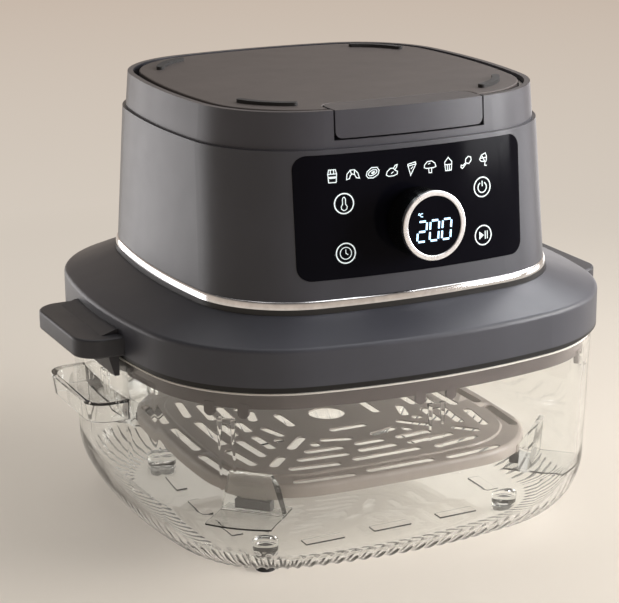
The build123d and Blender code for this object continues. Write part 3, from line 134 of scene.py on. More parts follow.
def add_ramp(tree, fac, stops):
    """Colour output of a ramp over a value, with stops given as places and linear colours."""
    ramp = add_node(tree, "ShaderNodeValToRGB", Fac=fac)
    elements = ramp.color_ramp.elements
    for index, (place, colour) in enumerate(stops):
        stop = elements[index] if index < 2 else elements.new(place)
        stop.position = place
        stop.color = colour
    return ramp.outputs["Color"]


def add_mix(tree, fac, first, second):
    """Output of a mix of two shaders."""
    mix = add_node(tree, "ShaderNodeMixShader", Fac=fac)
    tree.links.new(first, mix.inputs[1])
    tree.links.new(second, mix.inputs[2])
    return mix.outputs["Shader"]


# Every material, by its name
looks = {}


class Mat:
    """A material built around one Principled shader, kept in looks under its name."""

    def __init__(self, name):
        looks[name] = bpy.data.materials.new(name)
        looks[name].use_nodes = True
        self.tree = looks[name].node_tree
        self.bsdf = self.tree.nodes["Principled BSDF"]
        self.coord = self.tree.nodes.new("ShaderNodeTexCoord")

    def node(self, kind, **inputs):
        return add_node(self.tree, kind, **inputs)

    def link(self, output, name):
        self.tree.links.new(output, self.bsdf.inputs[name])

    def set(self, **values):
        for name, value in values.items():
            self.bsdf.inputs[name.replace("_", " ")].default_value = value

    def noise(self, scale, detail=2.0, stretch=(1, 1, 1), rough=0.5):
        mapping = self.node("ShaderNodeMapping", Vector=self.coord.outputs["Object"], Scale=stretch)
        values = {"Vector": mapping.outputs["Vector"], "Scale": scale, "Detail": detail}
        return self.node("ShaderNodeTexNoise", Roughness=rough, **values).outputs["Fac"]

    def calc(self, operation, first, second):
        """Output of a Math node over a socket and a second socket or number."""
        made = self.node("ShaderNodeMath", Value=first)
        made.operation = operation
        if isinstance(second, bpy.types.NodeSocket):
            self.tree.links.new(second, made.inputs[1])
        else:
            made.inputs[1].default_value = second
        return made.outputs["Value"]

    def colour(self, fac, low, high):
        """Base colour between two tones, by a pattern."""
        tone = add_ramp(self.tree, fac, [(0.3, low), (0.7, high)])
        self.link(tone, "Base Color")
        return tone

    def rough(self, fac, low, high):
        span = self.node("ShaderNodeMapRange", Value=fac, To_Min=low, To_Max=high)
        self.link(span.outputs["Result"], "Roughness")

    def bump(self, fac, height, strength=1.0):
        bump = self.node("ShaderNodeBump", Height=fac, Strength=strength, Distance=height)
        self.link(bump.outputs["Normal"], "Normal")

    def painted_gap_shade(self, tone):
        """Painted shade: black below a level on the collar's lower edge, where the shadow gap above the
        rim falls, and a tone above it.
        """
        split = self.node("ShaderNodeSeparateXYZ", Vector=self.coord.outputs["Object"])
        low, high = PAINTED_SHADE_Z[0] * MM, PAINTED_SHADE_Z[1] * MM
        edge = self.node("ShaderNodeMapRange", Value=split.outputs["Z"], From_Min=low, From_Max=high)
        mix = self.node("ShaderNodeMixRGB", Fac=edge.outputs["Result"], Color1=PAINTED_SHADE_COLOUR, Color2=tone)
        self.link(mix.outputs["Color"], "Base Color")


def plastic(name, rgb, low, high, grain=1800, height=0.00003, spread=0.06, painted_gap_shade=False, **extra):
    """Moulded plastic with a fine spark-eroded grain and slight blotches."""
    m = Mat(name)
    base = to_linear(rgb)
    tone = m.colour(m.noise(35, 3), shade(base, 1 - spread), shade(base, 1 + spread))
    # Painted shade: black along the collar's lower edge for the shadow gap above the rim
    if painted_gap_shade:
        m.painted_gap_shade(tone)
    m.rough(m.noise(60, 2), low, high)
    m.bump(m.noise(grain, 3, rough=0.6), height)
    m.set(**extra)


def metal(name, rgb, low, high, stretch=(1, 1, 1), grain=600, height=0.00001):
    """Metal with drawn or rolled streaks."""
    m = Mat(name)
    base = to_linear(rgb)
    streak = m.noise(grain, 2, stretch)
    m.colour(streak, shade(base, 0.9), shade(base, 1.06))
    m.rough(m.noise(90, 2), low, high)
    m.bump(streak, height)
    m.set(Metallic=1.0)


def glass(name, tint):
    """Clear pressed glass with a faint waviness."""
    m = Mat(name)
    m.set(Base_Color=tint, Roughness=0.0, IOR=1.47, Transmission_Weight=1.0)
    m.bump(m.noise(26, 2), 0.0003, 0.3)


def glow(name, rgb, strength):
    """Backlit sign."""
    colour = to_linear(rgb)
    m = Mat(name)
    m.set(Base_Color=colour, Roughness=0.5, Emission_Color=colour, Emission_Strength=strength)


# Plastics and metals: screen colour, then the least and the greatest roughness
plastic("body_plastic", (65, 66, 74), 0.34, 0.42, Specular_IOR_Level=0.4)
# Collar plastic with painted shade, black along its lower edge for the shadow gap above the rim
plastic("collar_plastic", (67, 68, 76), 0.34, 0.42, painted_gap_shade=True, Specular_IOR_Level=0.4)
plastic("tower_plastic", (61, 62, 70), 0.30, 0.38)
plastic("cap_plastic", (64, 64, 72), 0.32, 0.40)
plastic("handle_plastic", (57, 57, 62), 0.36, 0.46, Specular_IOR_Level=0.4)
plastic("grip_plastic", (86, 86, 92), 0.32, 0.42)
plastic("top_plastic", (84, 77, 75), 0.50, 0.60, grain=2500, Specular_IOR_Level=0.35)
plastic("skirt_plastic", (86, 77, 75), 0.46, 0.56, Specular_IOR_Level=0.3)
plastic("inner_plastic", (60, 60, 60), 0.45, 0.60)
plastic("trim_black", (30, 29, 30), 0.25, 0.35, grain=900, height=0.00001)
# Panel: near black, with a bluish lift that is partly a painted sheen standing in for the panel's faint
# reflection
plastic("panel_black", (11, 11, 18), 0.10, 0.14, grain=400, height=0.000002, Specular_IOR_Level=0.05)
plastic("dial_black", (9, 9, 10), 0.20, 0.30, grain=900, height=0.00001)
plastic("foot_rubber", (34, 33, 34), 0.60, 0.75, grain=1200)
plastic("bumper_silicone", (52, 48, 47), 0.50, 0.62, grain=1200)
plastic("seal_silicone", (18, 17, 18), 0.55, 0.7, grain=1200)
plastic("plate_coating", (136, 126, 118), 0.34, 0.46, grain=1600, height=0.00004)
plastic("ceramic", (222, 216, 204), 0.30, 0.42)
plastic("board_green", (28, 92, 50), 0.30, 0.42, grain=700)
metal("bright_chrome", (238, 238, 240), 0.10, 0.16, grain=200, height=0.000002)
metal("screw_steel", (170, 170, 172), 0.25, 0.38)
metal("sheet_steel", (176, 178, 180), 0.30, 0.42, (1, 30, 30))
metal("element_steel", (92, 86, 82), 0.35, 0.5)
metal("guard_steel", (140, 137, 134), 0.32, 0.45)
metal("reflector_sheet", (205, 205, 206), 0.18, 0.28)
metal("coil_copper", (190, 110, 78), 0.28, 0.4, (30, 1, 30))
metal("bush_bronze", (160, 130, 88), 0.3, 0.42)
metal("motor_steel", (120, 120, 124), 0.4, 0.55, (1, 1, 40))
glass("bowl_glass", (0.985, 0.994, 0.988, 1.0))
# Pale band along the rim: a painted highlight of the glass rim's edge
plastic("rim_painted_highlight", (226, 222, 216), 0.15, 0.25, grain=900, height=0.000005, spread=0.03)
metal("bezel_aluminium", (252, 252, 255), 0.24, 0.32, grain=400, height=0.000002)
glow("sign_light", (205, 214, 216), 0.75)
glow("digit_light", (190, 226, 255), 1.5)

# Slots and nodes whose look isn't the one named like their slot
SLOT_LOOKS = {"deck_steel": "sheet_steel", "fan_aluminium": "reflector_sheet"}
NODE_LOOKS = {
    "tower_shell": "tower_plastic",
    "dial_bezel": "bezel_aluminium",
    "collar_shell": "collar_plastic",
    "grip_cover": "grip_plastic",
}
for entry in frame["record"]["subparts"]:
    node, slot = entry["node"], entry["material_slot"]
    look = NODE_LOOKS.get(node) or SLOT_LOOKS.get(slot, slot)
    nodes[node].data.materials.clear()
    nodes[node].data.materials.append(looks[look])


# Meshes: angles under which edges are shaded smooth, in degrees, and steps round a ring
GLASS_ANGLE = 35
RING_ANGLE = 40
PLATE_ANGLE = 30
RING_COLUMNS = 240
TOWER_COLUMNS = 256
PLATE_COLUMNS = 200


def link_mesh(name, mesh, look=None, smooth=0.0):
    """Object from a bmesh in millimetres, smooth across edges under an angle in degrees."""
    data = bpy.data.meshes.new(name)
    bmesh.ops.scale(mesh, vec=(MM, MM, MM), verts=mesh.verts)
    bmesh.ops.recalc_face_normals(mesh, faces=mesh.faces)
    mesh.to_mesh(data)
    mesh.free()
    if look:
        data.materials.append(looks[look])
    if smooth:
        smooth_by_angle(data, smooth)
    return add_object(name, data)


def smooth_by_angle(data, angle):
    """Smooth shading, with sharp edges above an angle in degrees."""
    for poly in data.polygons:
        poly.use_smooth = True
    data.set_sharp_from_angle(angle=math.radians(angle))


def outline_arcs(outline):
    """Arc centres of the first quadrant and the normal angles where they meet."""
    half_x, half_y, side, corner = outline
    east = Vector((half_x - side, 0))
    north = Vector((0, half_y - side))
    gap = north - east
    spread = side - corner
    lift = math.sqrt(spread ** 2 - (gap.length / 2) ** 2)
    across = Vector((-gap.y, gap.x)).normalized()
    if across.x < 0:
        across = -across
    centre = (east + north) / 2 + across * lift
    first = math.atan2(centre.y - east.y, centre.x - east.x)
    second = math.atan2(centre.y - north.y, centre.x - north.x)
    return east, centre, north, first, second


def outline_columns(outline, count):
    """Evenly spaced stations round an outline, each a point on it and its outward normal."""
    _, _, side, corner = outline
    east, centre, north, first, second = outline_arcs(outline)
    spans = [side * first, corner * (second - first), side * (math.pi / 2 - second)]
    quarter = sum(spans)
    columns = []
    for i in range(count):
        place = 4 * i / count
        turn = int(place)
        run = (place - turn) * quarter
        if turn % 2:
            run = quarter - run
        if run <= spans[0]:
            angle, hub, radius = run / side, east, side
        elif run <= spans[0] + spans[1]:
            angle, hub, radius = first + (run - spans[0]) / corner, centre, corner
        else:
            angle, hub, radius = second + (run - spans[0] - spans[1]) / side, north, side
        normal = Vector((math.cos(angle), math.sin(angle)))
        point = hub + normal * radius
        flip = Vector((-1 if turn in (1, 2) else 1, -1 if turn in (2, 3) else 1))
        columns.append((point * flip, normal * flip))
    return columns


def ring_between(mesh, low, high):
    """Quads between two closed rings of vertices."""
    count = len(low)
    for i in range(count):
        j = (i + 1) % count
        mesh.faces.new((low[i], low[j], high[j], high[i]))


# Pressed glass bowl with flutes round its bend: their number, steps and depth, the length over
# which they run out, and the angles round the bend where they begin and end
FLUTES = 112
FLUTE_STEPS = 6
FLUTE_DEPTH = 1.0
FLUTE_RUNOUT = 5.0
FLUTE_FOOT = 11.0
FLUTE_SIDE_TOP = 54.0
FLUTE_CORNER_TOP = 66.0

# Rows of the bend and the rim, and the narrow rows that keep the shading of the walls flat
BEND_ROWS = 38
INNER_BEND_ROWS = 14
RIM_ROUND = 1.1
RIM_STEPS = 4
FLAT_EDGE = 1.5
FLAT_LIFT = 2.0
# Levels of the pale band at the rim's outer edge, a painted highlight
RIM_EDGE = (126.3, 127.4)

# Grips, hollow from below, both with their roots in the wall, and a thin pad on the wall above each
GRIP_REACH = 22.0
GRIP_HALF = 39.5
GRIP_LOW_Z = 90.5
GRIP_TOP_Z = 103.5
GRIP_CORNER = 12.0
GRIP_TAPER = 1.6
GRIP_WALL = 2.4
GRIP_ROUND = 1.2
GRIP_ROOT = COLLAR[0] - 7.0
HOLLOW_ROOT = COLLAR[0] - RIM_INSET - 2.8
HOLLOW_LOW = (GRIP_LOW_Z - 1.0, GRIP_TAPER + GRIP_WALL - 0.8)
HOLLOW_TOP = (GRIP_TOP_Z - GRIP_WALL, GRIP_WALL + 0.4)
PAD_PROUD = 0.6
PAD_LEVELS = (GRIP_TOP_Z - 2.0, RIM_Z - 0.3)

# How far pads and keys reach into the wall
WALL_SINK = 1.5

# Bosses over the feet, and the bores for the feet's stems
FOOT_X = 83.0
FOOT_Y = 85.0
FOOT_Z = 3.4
BOSS_RADIUS = 8.0
BOSS_TOP_Z = 16.5
BOSS_TAPER = 0.6
BOSS_ROUND = 0.8
STEM_RADIUS = 2.7
STEM_LEVELS = (FOOT_Z - 1.0, 8.5)
STEM_STEPS = 24

# Raised pads on the floor: length, width, rise and root, the slope of their sides, their round
# edges and their places
FLOOR_PAD = (26.0, 8.0, 1.0, 2.0)
FLOOR_PAD_SLOPE = 0.3
FLOOR_PAD_ROUND = 0.25
FLOOR_PAD_X = 90.0
FLOOR_PAD_Y = 88.0
FLOOR_PAD_PITCH = 46.0

# Corner rests: height and half width at the shelf and at the top of the guide. The shelf's inner
# reach past the plate's corner, its gap to the wall's outside and its thickness. The guide's side
# view, as reaches past the plate's corner and heights.
REST_LEDGE_Z, REST_LEDGE_HALF = 43.3, 19.5
REST_TOP_Z, REST_TOP_HALF = 68.3, 13.0
REST_FOOT_Z = REST_LEDGE_Z - 1.4
REST_SHELF = (-5.5, 3.0, 1.1)
REST_GUIDE = [(3.5, REST_FOOT_Z), (3.5, 59.0), (9.0, REST_TOP_Z), (12.5, REST_TOP_Z), (9.0, REST_FOOT_Z)]
SHELF_SLOPE = 0.2
SHELF_ROUND = 0.3
GUIDE_ROUND = 0.8
PLATE_CORNER = 126.7

# Pairs of keys on the inner wall: height, half width and rise at foot and head, and the bar between
KEY_FOOT = (94.5, 0.7, 0.1)
KEY_HEAD = (110.5, 1.5, 2.0)
KEY_SHIFT = 4.0
KEY_ROUND = 0.25
BRIDGE_FOOT = (KEY_HEAD[0] - 3.2, 5.4, 1.5)
BRIDGE_HEAD = (KEY_HEAD[0] - 0.2, 5.4, 1.5)
BRIDGE_ROUND = 0.4

draft_angle = math.atan(DRAFT / (RIM_Z - FLOOR_Z))


def wall_inset(z):
    """How far the drafted outer wall lies inside the collar's outline."""
    return RIM_INSET + DRAFT * (RIM_Z - z) / (RIM_Z - FLOOR_Z)


def bend_centre(bend, floor_z, wall):
    """Inset and height of the centre of the round between floor and wall."""
    z = floor_z + bend
    return wall_inset(z) + wall + bend / math.cos(draft_angle), z


def bowl_ring(mesh, columns, depth_at):
    """Ring of vertices, each placed by the inset and height that a function gives."""
    ring = []
    for index, (point, normal) in enumerate(columns):
        inset, z = depth_at(index, normal)
        spot = point - normal * inset
        ring.append(mesh.verts.new((spot.x, spot.y, z)))
    return ring


def flute_depth(index, normal, angle):
    """Depth of the scooped flutes at a column and at an angle round the bend."""
    across = (index % FLUTE_STEPS) / FLUTE_STEPS - 0.5
    corner = abs(2 * normal.x * normal.y) ** 3
    top_angle = FLUTE_SIDE_TOP + (FLUTE_CORNER_TOP - FLUTE_SIDE_TOP) * corner
    end = math.radians(min(angle - FLUTE_FOOT, top_angle - angle)) * BEND
    if end <= 0:
        return 0.0
    runout = (1 - min(1.0, end / FLUTE_RUNOUT)) ** 2
    return max(0.0, FLUTE_DEPTH * (1 - 4 * across ** 2 - runout))


def bowl_body():
    """Drafted bowl with an even wall, closed at the rim, in millimetres."""
    mesh = bmesh.new()
    columns = outline_columns(COLLAR, FLUTES * FLUTE_STEPS)
    rings = []

    def add_ring(inset, level):
        rings.append(bowl_ring(mesh, columns, lambda i, n: (inset, level)))

    outer_inset, outer_z = bend_centre(BEND, FLOOR_Z, 0)
    add_ring(outer_inset + FLAT_EDGE, FLOOR_Z)
    last_angle = math.degrees(math.pi / 2 + draft_angle)
    for row in range(BEND_ROWS + 1):
        angle = last_angle * row / BEND_ROWS
        sine, cosine = math.sin(math.radians(angle)), math.cos(math.radians(angle))

        def outer(index, normal):
            depth = flute_depth(index, normal, angle)
            return (outer_inset - (BEND - depth) * sine, outer_z - (BEND - depth) * cosine)

        rings.append(bowl_ring(mesh, columns, outer))
    for level in (outer_z + FLAT_EDGE + FLAT_LIFT, RIM_Z - RIM_ROUND - FLAT_EDGE):
        add_ring(wall_inset(level), level)
    for step in range(RIM_STEPS + 1):
        turn = math.pi / 2 * step / RIM_STEPS
        level = RIM_Z - RIM_ROUND * (1 - math.sin(turn))
        add_ring(wall_inset(level) + RIM_ROUND * (1 - math.cos(turn)), level)
    for step in range(RIM_STEPS + 1):
        turn = math.pi / 2 * step / RIM_STEPS
        level = RIM_Z - RIM_ROUND * (1 - math.cos(turn))
        add_ring(wall_inset(level) + WALL - RIM_ROUND * (1 - math.sin(turn)), level)
    inner_inset, inner_z = bend_centre(BEND - WALL, FLOOR_Z + FLOOR, WALL)
    for level in (RIM_Z - RIM_ROUND - FLAT_EDGE, inner_z + FLAT_EDGE + FLAT_LIFT):
        add_ring(wall_inset(level) + WALL, level)
    for row in range(INNER_BEND_ROWS, -1, -1):
        angle = math.radians(last_angle * row / INNER_BEND_ROWS)
        reach = BEND - WALL
        add_ring(inner_inset - reach * math.sin(angle), inner_z - reach * math.cos(angle))
    add_ring(inner_inset + FLAT_EDGE, FLOOR_Z + FLOOR)
    for low, high in zip(rings, rings[1:]):
        ring_between(mesh, low, high)
    mesh.faces.new(list(reversed(rings[0])))
    mesh.faces.new(rings[-1])
    return mesh


def closed_loft(mesh, low, high, bevel=0.0, segments=2):
    """Solid between two loops of points, with its edges rounded."""
    before = set(mesh.faces)
    low_ring = [mesh.verts.new(p) for p in low]
    high_ring = [mesh.verts.new(p) for p in high]
    ring_between(mesh, low_ring, high_ring)
    mesh.faces.new(list(reversed(low_ring)))
    mesh.faces.new(high_ring)
    round_edges(mesh, [f for f in mesh.faces if f not in before], bevel, segments)


def round_edges(mesh, faces, bevel, segments):
    """Round the sharp edges of some faces."""
    if bevel:
        edges = list({e for f in faces for e in f.edges if e.calc_face_angle(0) > 0.5})
        bmesh.ops.bevel(mesh, geom=edges, offset=bevel, segments=segments, profile=0.5, affect="EDGES")


def circle(x, y, radius, z, steps=40):
    """Level ring of points."""
    turns = [2 * math.pi * i / steps for i in range(steps)]
    return [(x + radius * math.cos(a), y + radius * math.sin(a), z) for a in turns]


def rectangle(x, y, half_x, half_y, z):
    """Level rectangle of points."""
    left, right, near, far = x - half_x, x + half_x, y - half_y, y + half_y
    return [(left, near, z), (right, near, z), (right, far, z), (left, far, z)]


def grip_loop(side, root, z, shrink, steps=8):
    """Plan of a grip or of the hollow under it, square at its root and round outside."""
    reach = COLLAR[0] - RIM_INSET + GRIP_REACH - shrink
    half = GRIP_HALF - shrink
    points = [(root, -half), (root, half)]
    for way in (1, -1):
        arc = [math.pi / 2 * i / steps for i in range(steps + 1)]
        if way < 0:
            arc.reverse()
        for a in arc:
            x = reach - GRIP_CORNER + GRIP_CORNER * math.sin(a)
            points.append((x, way * (half - GRIP_CORNER + GRIP_CORNER * math.cos(a))))
    return [(side * x, y, z) for x, y in points]


def corner_spots(outline):
    """Middles of an outline's corners, each with its outward direction."""
    _, centre, _, _, _ = outline_arcs(outline)
    spots = []
    for side_x, side_y in CORNERS:
        normal = Vector((side_x, side_y)).normalized()
        spots.append((Vector((centre.x * side_x, centre.y * side_y)) + normal * outline[3], normal))
    return spots


def rest_block(mesh, corner, loop, bevel):
    """Block across a corner: a loop of reaches past the plate and heights, narrower towards its top."""
    along = Vector((*corner, 0)).normalized()
    across = Vector((-along.y, along.x, 0))
    height = REST_TOP_Z - REST_LEDGE_Z
    sides = []
    for way in (1, -1):
        side = []
        for reach, z in loop:
            share = max(0.0, z - REST_LEDGE_Z) / height
            half = REST_LEDGE_HALF + (REST_TOP_HALF - REST_LEDGE_HALF) * share
            side.append(along * (PLATE_CORNER + reach) + across * way * half + Vector((0, 0, z)))
        sides.append(side)
    closed_loft(mesh, *sides, bevel)


def rest_shelves(mesh):
    """Shelves from the corner walls to under the plate's corners."""
    near, gap, thickness = REST_SHELF
    high, low = REST_LEDGE_Z, REST_LEDGE_Z - thickness
    outside = corner_spots(COLLAR)[0][0].length - wall_inset(high)
    far = outside - PLATE_CORNER - gap
    loop = [(near, high), (far, high), (far - SHELF_SLOPE, low), (near, low)]
    for corner in CORNERS:
        rest_block(mesh, corner, loop, SHELF_ROUND)


def key_spots():
    """Middles of the bowl's four sides and corners, each with its outward direction."""
    sides = [(Vector((COLLAR[0] * x, COLLAR[1] * y)), Vector((x, y))) for x, y in SIDES]
    return sides + corner_spots(COLLAR)


def key_block(mesh, spot, normal, shift, low, high, bevel):
    """Block on the inner wall between two levels, each with a half width and a height proud."""
    across = Vector((-normal.y, normal.x))
    loops = []
    for z, half, proud in (low, high):
        inner = wall_inset(z) + WALL
        sunk = inner - WALL_SINK
        loop = []
        for inset, way in ((sunk, -1), (inner + proud, -1), (inner + proud, 1), (sunk, 1)):
            place = spot - normal * inset + across * (shift + way * half)
            loop.append((place.x, place.y, z))
        loops.append(loop)
    closed_loft(mesh, *loops, bevel)


def glass_lumps():
    """Grips, bosses, shelves and floor pads, as one mesh of solids that don't touch."""
    mesh = bmesh.new()
    for side in (1, -1):
        low = grip_loop(side, GRIP_ROOT, GRIP_LOW_Z, GRIP_TAPER)
        high = grip_loop(side, GRIP_ROOT, GRIP_TOP_Z, 0)
        closed_loft(mesh, low, high, GRIP_ROUND, segments=3)
    for side_x, side_y in CORNERS:
        x, y = side_x * FOOT_X, side_y * FOOT_Y
        low = circle(x, y, BOSS_RADIUS - BOSS_TAPER, FOOT_Z)
        closed_loft(mesh, low, circle(x, y, BOSS_RADIUS, BOSS_TOP_Z), BOSS_ROUND)
    rest_shelves(mesh)
    length, width, rise, root = FLOOR_PAD
    floor_z = FLOOR_Z + FLOOR
    slope = FLOOR_PAD_SLOPE
    for side in (1, -1):
        for shift in (-FLOOR_PAD_PITCH, 0, FLOOR_PAD_PITCH):
            for x, y, half_x, half_y in (
                (side * FLOOR_PAD_X, shift, width / 2, length / 2),
                (shift, side * FLOOR_PAD_Y, length / 2, width / 2),
            ):
                low = rectangle(x, y, half_x + slope, half_y + slope, floor_z - root)
                high = rectangle(x, y, half_x - slope, half_y - slope, floor_z + rise)
                closed_loft(mesh, low, high, FLOOR_PAD_ROUND)
    return mesh


def wall_patch(side, z, proud, steps=16):
    """Plan of a thin pad that follows the wall over a grip."""
    radius = COLLAR[2] - wall_inset(z)
    hub = COLLAR[0] - COLLAR[2]
    reach = math.asin(GRIP_HALF / radius)
    loop = []
    for depth, way in ((proud, 1), (-WALL_SINK, -1)):
        for step in range(steps + 1):
            share = 2 * step / steps - 1
            a = reach * share * way
            lift = depth * min(1.0, 6 * (1 - abs(share))) if depth > 0 else depth
            away = radius + lift
            loop.append((side * (hub + away * math.cos(a)), away * math.sin(a), z))
    return loop


def glass_keys():
    """Guides that rise from the shelves, pads over the grips and keys under the rim."""
    mesh = bmesh.new()
    for corner in CORNERS:
        rest_block(mesh, corner, REST_GUIDE, GUIDE_ROUND)
    for side in (1, -1):
        closed_loft(mesh, *[wall_patch(side, z, PAD_PROUD) for z in PAD_LEVELS])
    for spot, normal in key_spots():
        for shift in (-KEY_SHIFT, KEY_SHIFT):
            key_block(mesh, spot, normal, shift, KEY_FOOT, KEY_HEAD, KEY_ROUND)
    return mesh


def glass_bridges():
    """Bars across the tops of the keys."""
    mesh = bmesh.new()
    for spot, normal in key_spots():
        key_block(mesh, spot, normal, 0, BRIDGE_FOOT, BRIDGE_HEAD, BRIDGE_ROUND)
    return mesh


def glass_hollows():
    """Hollows under the grips and bores for the feet."""
    mesh = bmesh.new()
    for side in (1, -1):
        closed_loft(mesh, *[grip_loop(side, HOLLOW_ROOT, *end) for end in (HOLLOW_LOW, HOLLOW_TOP)])
    for side_x, side_y in CORNERS:
        x, y = side_x * FOOT_X, side_y * FOOT_Y
        closed_loft(mesh, *[circle(x, y, STEM_RADIUS, z, STEM_STEPS) for z in STEM_LEVELS])
    return mesh


def combine(target, tool_mesh, operation):
    """Join or cut a mesh with solids and drop them afterwards."""
    tool = link_mesh("tool", tool_mesh)
    change = target.modifiers.new("combine", "BOOLEAN")
    change.operation = operation
    change.solver = "EXACT"
    change.object = tool
    graph = bpy.context.evaluated_depsgraph_get()
    result = bpy.data.meshes.new_from_object(target.evaluated_get(graph))
    target.modifiers.clear()
    target.data = result
    bpy.data.objects.remove(tool)


def make_bowl():
    """Pressed glass bowl in one piece."""
    bowl = link_mesh("pressed_bowl", bowl_body(), "bowl_glass")
    combine(bowl, glass_lumps(), "UNION")
    combine(bowl, glass_keys(), "UNION")
    combine(bowl, glass_bridges(), "UNION")
    combine(bowl, glass_hollows(), "DIFFERENCE")
    smooth_by_angle(bowl.data, GLASS_ANGLE)
    bowl.visible_shadow = False
    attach(bowl, "bowl")
    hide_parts("glass_bowl")


def make_rim_edge():
    """Opaque pale band along the bowl's rim, a painted highlight that stands in for the light caught by
    the glass rim's edge.
    """
    mesh = bmesh.new()
    columns = outline_columns(COLLAR, RING_COLUMNS)
    low, high = RIM_EDGE
    foot, head = wall_inset(low), wall_inset(high)
    profile_ring(mesh, columns, [
        (foot, low), (foot - 0.12, low + 0.2), (head - 0.05, high - 0.2),
        (head + 0.25, high), (head + 0.8, high - 0.1), (foot + 0.8, low),
    ])
    edge = link_mesh("rim_edge", mesh, "rim_painted_highlight", RING_ANGLE)
    edge.visible_shadow = False
    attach(edge, "bowl")


# Bright ring with a rounded face at the foot of the tower
RING_LOW_Z = 168.3
RING_TOP_Z = 172.7
RING_PROUD = 1.5
RING_DEPTH = 1.2
RING_STEPS = 8


def make_chrome_ring():
    """Bright ring, a quarter ellipse in section."""
    mesh = bmesh.new()
    columns = outline_columns(TOWER_FOOT, TOWER_COLUMNS)
    rise = RING_TOP_Z - RING_LOW_Z
    profile = [(RING_DEPTH, RING_LOW_Z)]
    for step in range(RING_STEPS + 1):
        turn = math.pi / 2 * step / RING_STEPS
        profile.append((-RING_PROUD * math.cos(turn), RING_LOW_Z + rise * math.sin(turn)))
    profile.append((RING_DEPTH, RING_TOP_Z))
    profile_ring(mesh, columns, profile)
    ring = link_mesh("tower_ring", mesh, "bright_chrome", RING_ANGLE)
    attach(ring, "head")
    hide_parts("chrome_ring")


# Crisper plate of thin coated sheet, with a lowered border, four tabs, a round hole and rows of
# slots. A row is its distance from the middle and its slots: place along it, length and tilt.
PLATE = (109.0, 107.0, 900.0, 58.0)
PLATE_Z = 59.0
PLATE_SHEET = 1.0
PLATE_BORDER = 14.0
PLATE_BORDER_Z = 57.8
PLATE_RIM_Z = 49.8
PLATE_EDGE = 2.8
PLATE_STEP = 0.8
PLATE_TAB = (8.0, 45.4)
PLATE_TAB_INSETS = (0.1, 2.1)
PLATE_HOLE = 11.5
BORDER_ROWS = 90
SLOT_WIDTH = 6.0
SLOT_ROWS = [
    (30.0, [(0.0, 26.0, 0.0)]),
    (46.0, [(16.5, 21.0, 16.0)]),
    (48.5, [(32.0, 7.5, 100.0)]),
    (59.0, [(0.0, 21.0, 0.0), (31.0, 26.0, 4.0)]),
    (70.0, [(0.0, 27.0, 0.0), (37.0, 34.0, 5.0)]),
    (82.0, [(0.0, 47.0, 0.0), (48.5, 33.0, 8.0)]),
    (99.5, [(0.0, 46.0, 0.0), (50.5, 40.0, 5.0)]),
]
DIAGONAL_SLOTS = [(58.0, 24.0), (92.0, 19.0)]


def slot_loop(x, y, length, angle, steps=6):
    """Plan of a slot with round ends, given its overall length and its angle in degrees."""
    radius = SLOT_WIDTH / 2
    turn = Matrix.Rotation(math.radians(angle), 2)
    loop = []
    for end in (1, -1):
        for step in range(steps + 1):
            a = math.pi * (step / steps - 0.5)
            spot = Vector((length / 2 - radius + radius * math.cos(a), radius * math.sin(a))) * end
            spot = turn @ spot
            loop.append((x + spot.x, y + spot.y))
    return loop


def plate_slots():
    """Loops of all the slots, with the distance of each row from the middle."""
    loops = []
    for quarter in range(4):
        turn = Matrix.Rotation(math.pi / 2 * quarter, 2)
        for distance, slots in SLOT_ROWS:
            for along, length, tilt in slots:
                for way in (1, -1) if along else (1,):
                    spot = turn @ Vector((way * along, -distance))
                    loop = slot_loop(spot.x, spot.y, length, 90 * quarter + way * tilt)
                    loops.append((distance, loop))
        for distance, length in DIAGONAL_SLOTS:
            angle = 45 + 90 * quarter
            spot = Matrix.Rotation(math.radians(angle), 2) @ Vector((distance, 0))
            loops.append((0, slot_loop(spot.x, spot.y, length, angle)))
    return loops


def plan_loop(outline, inset, count):
    """Plan of an outline moved inward."""
    return [(point - normal * inset).to_tuple() for point, normal in outline_columns(outline, count)]


def flat_sheet(mesh, loops, low, high):
    """Flat sheet between two levels, bounded by the first loop and cut out along the others."""
    curve = bpy.data.curves.new("sheet", "CURVE")
    curve.dimensions = "2D"
    curve.fill_mode = "BOTH"
    curve.extrude = (high - low) / 2
    for loop in loops:
        spline = curve.splines.new("POLY")
        spline.points.add(len(loop) - 1)
        for point, spot in zip(spline.points, loop):
            point.co = (spot[0], spot[1], 0, 1)
        spline.use_cyclic_u = True
    obj = add_object("sheet", curve)
    graph = bpy.context.evaluated_depsgraph_get()
    data = bpy.data.meshes.new_from_object(obj.evaluated_get(graph))
    data.transform(Matrix.Translation((0, 0, (low + high) / 2)))
    mesh.from_mesh(data)
    bpy.data.objects.remove(obj)
    bpy.data.meshes.remove(data)


def profile_ring(mesh, columns, profile):
    """Closed band round an outline, from a closed profile of insets and heights."""
    rings = [bowl_ring(mesh, columns, lambda i, n: spot) for spot in profile]
    for low, high in zip(rings, rings[1:] + rings[:1]):
        ring_between(mesh, low, high)


def upright_block(mesh, spot, normal, insets, loop, bevel):
    """Block whose face is a loop of sideways places and heights, between two insets."""
    across = Vector((-normal.y, normal.x))
    ends = []
    for inset in insets:
        places = [(spot - normal * inset + across * shift, z) for shift, z in loop]
        ends.append([(place.x, place.y, z) for place, z in places])
    closed_loft(mesh, *ends, bevel)


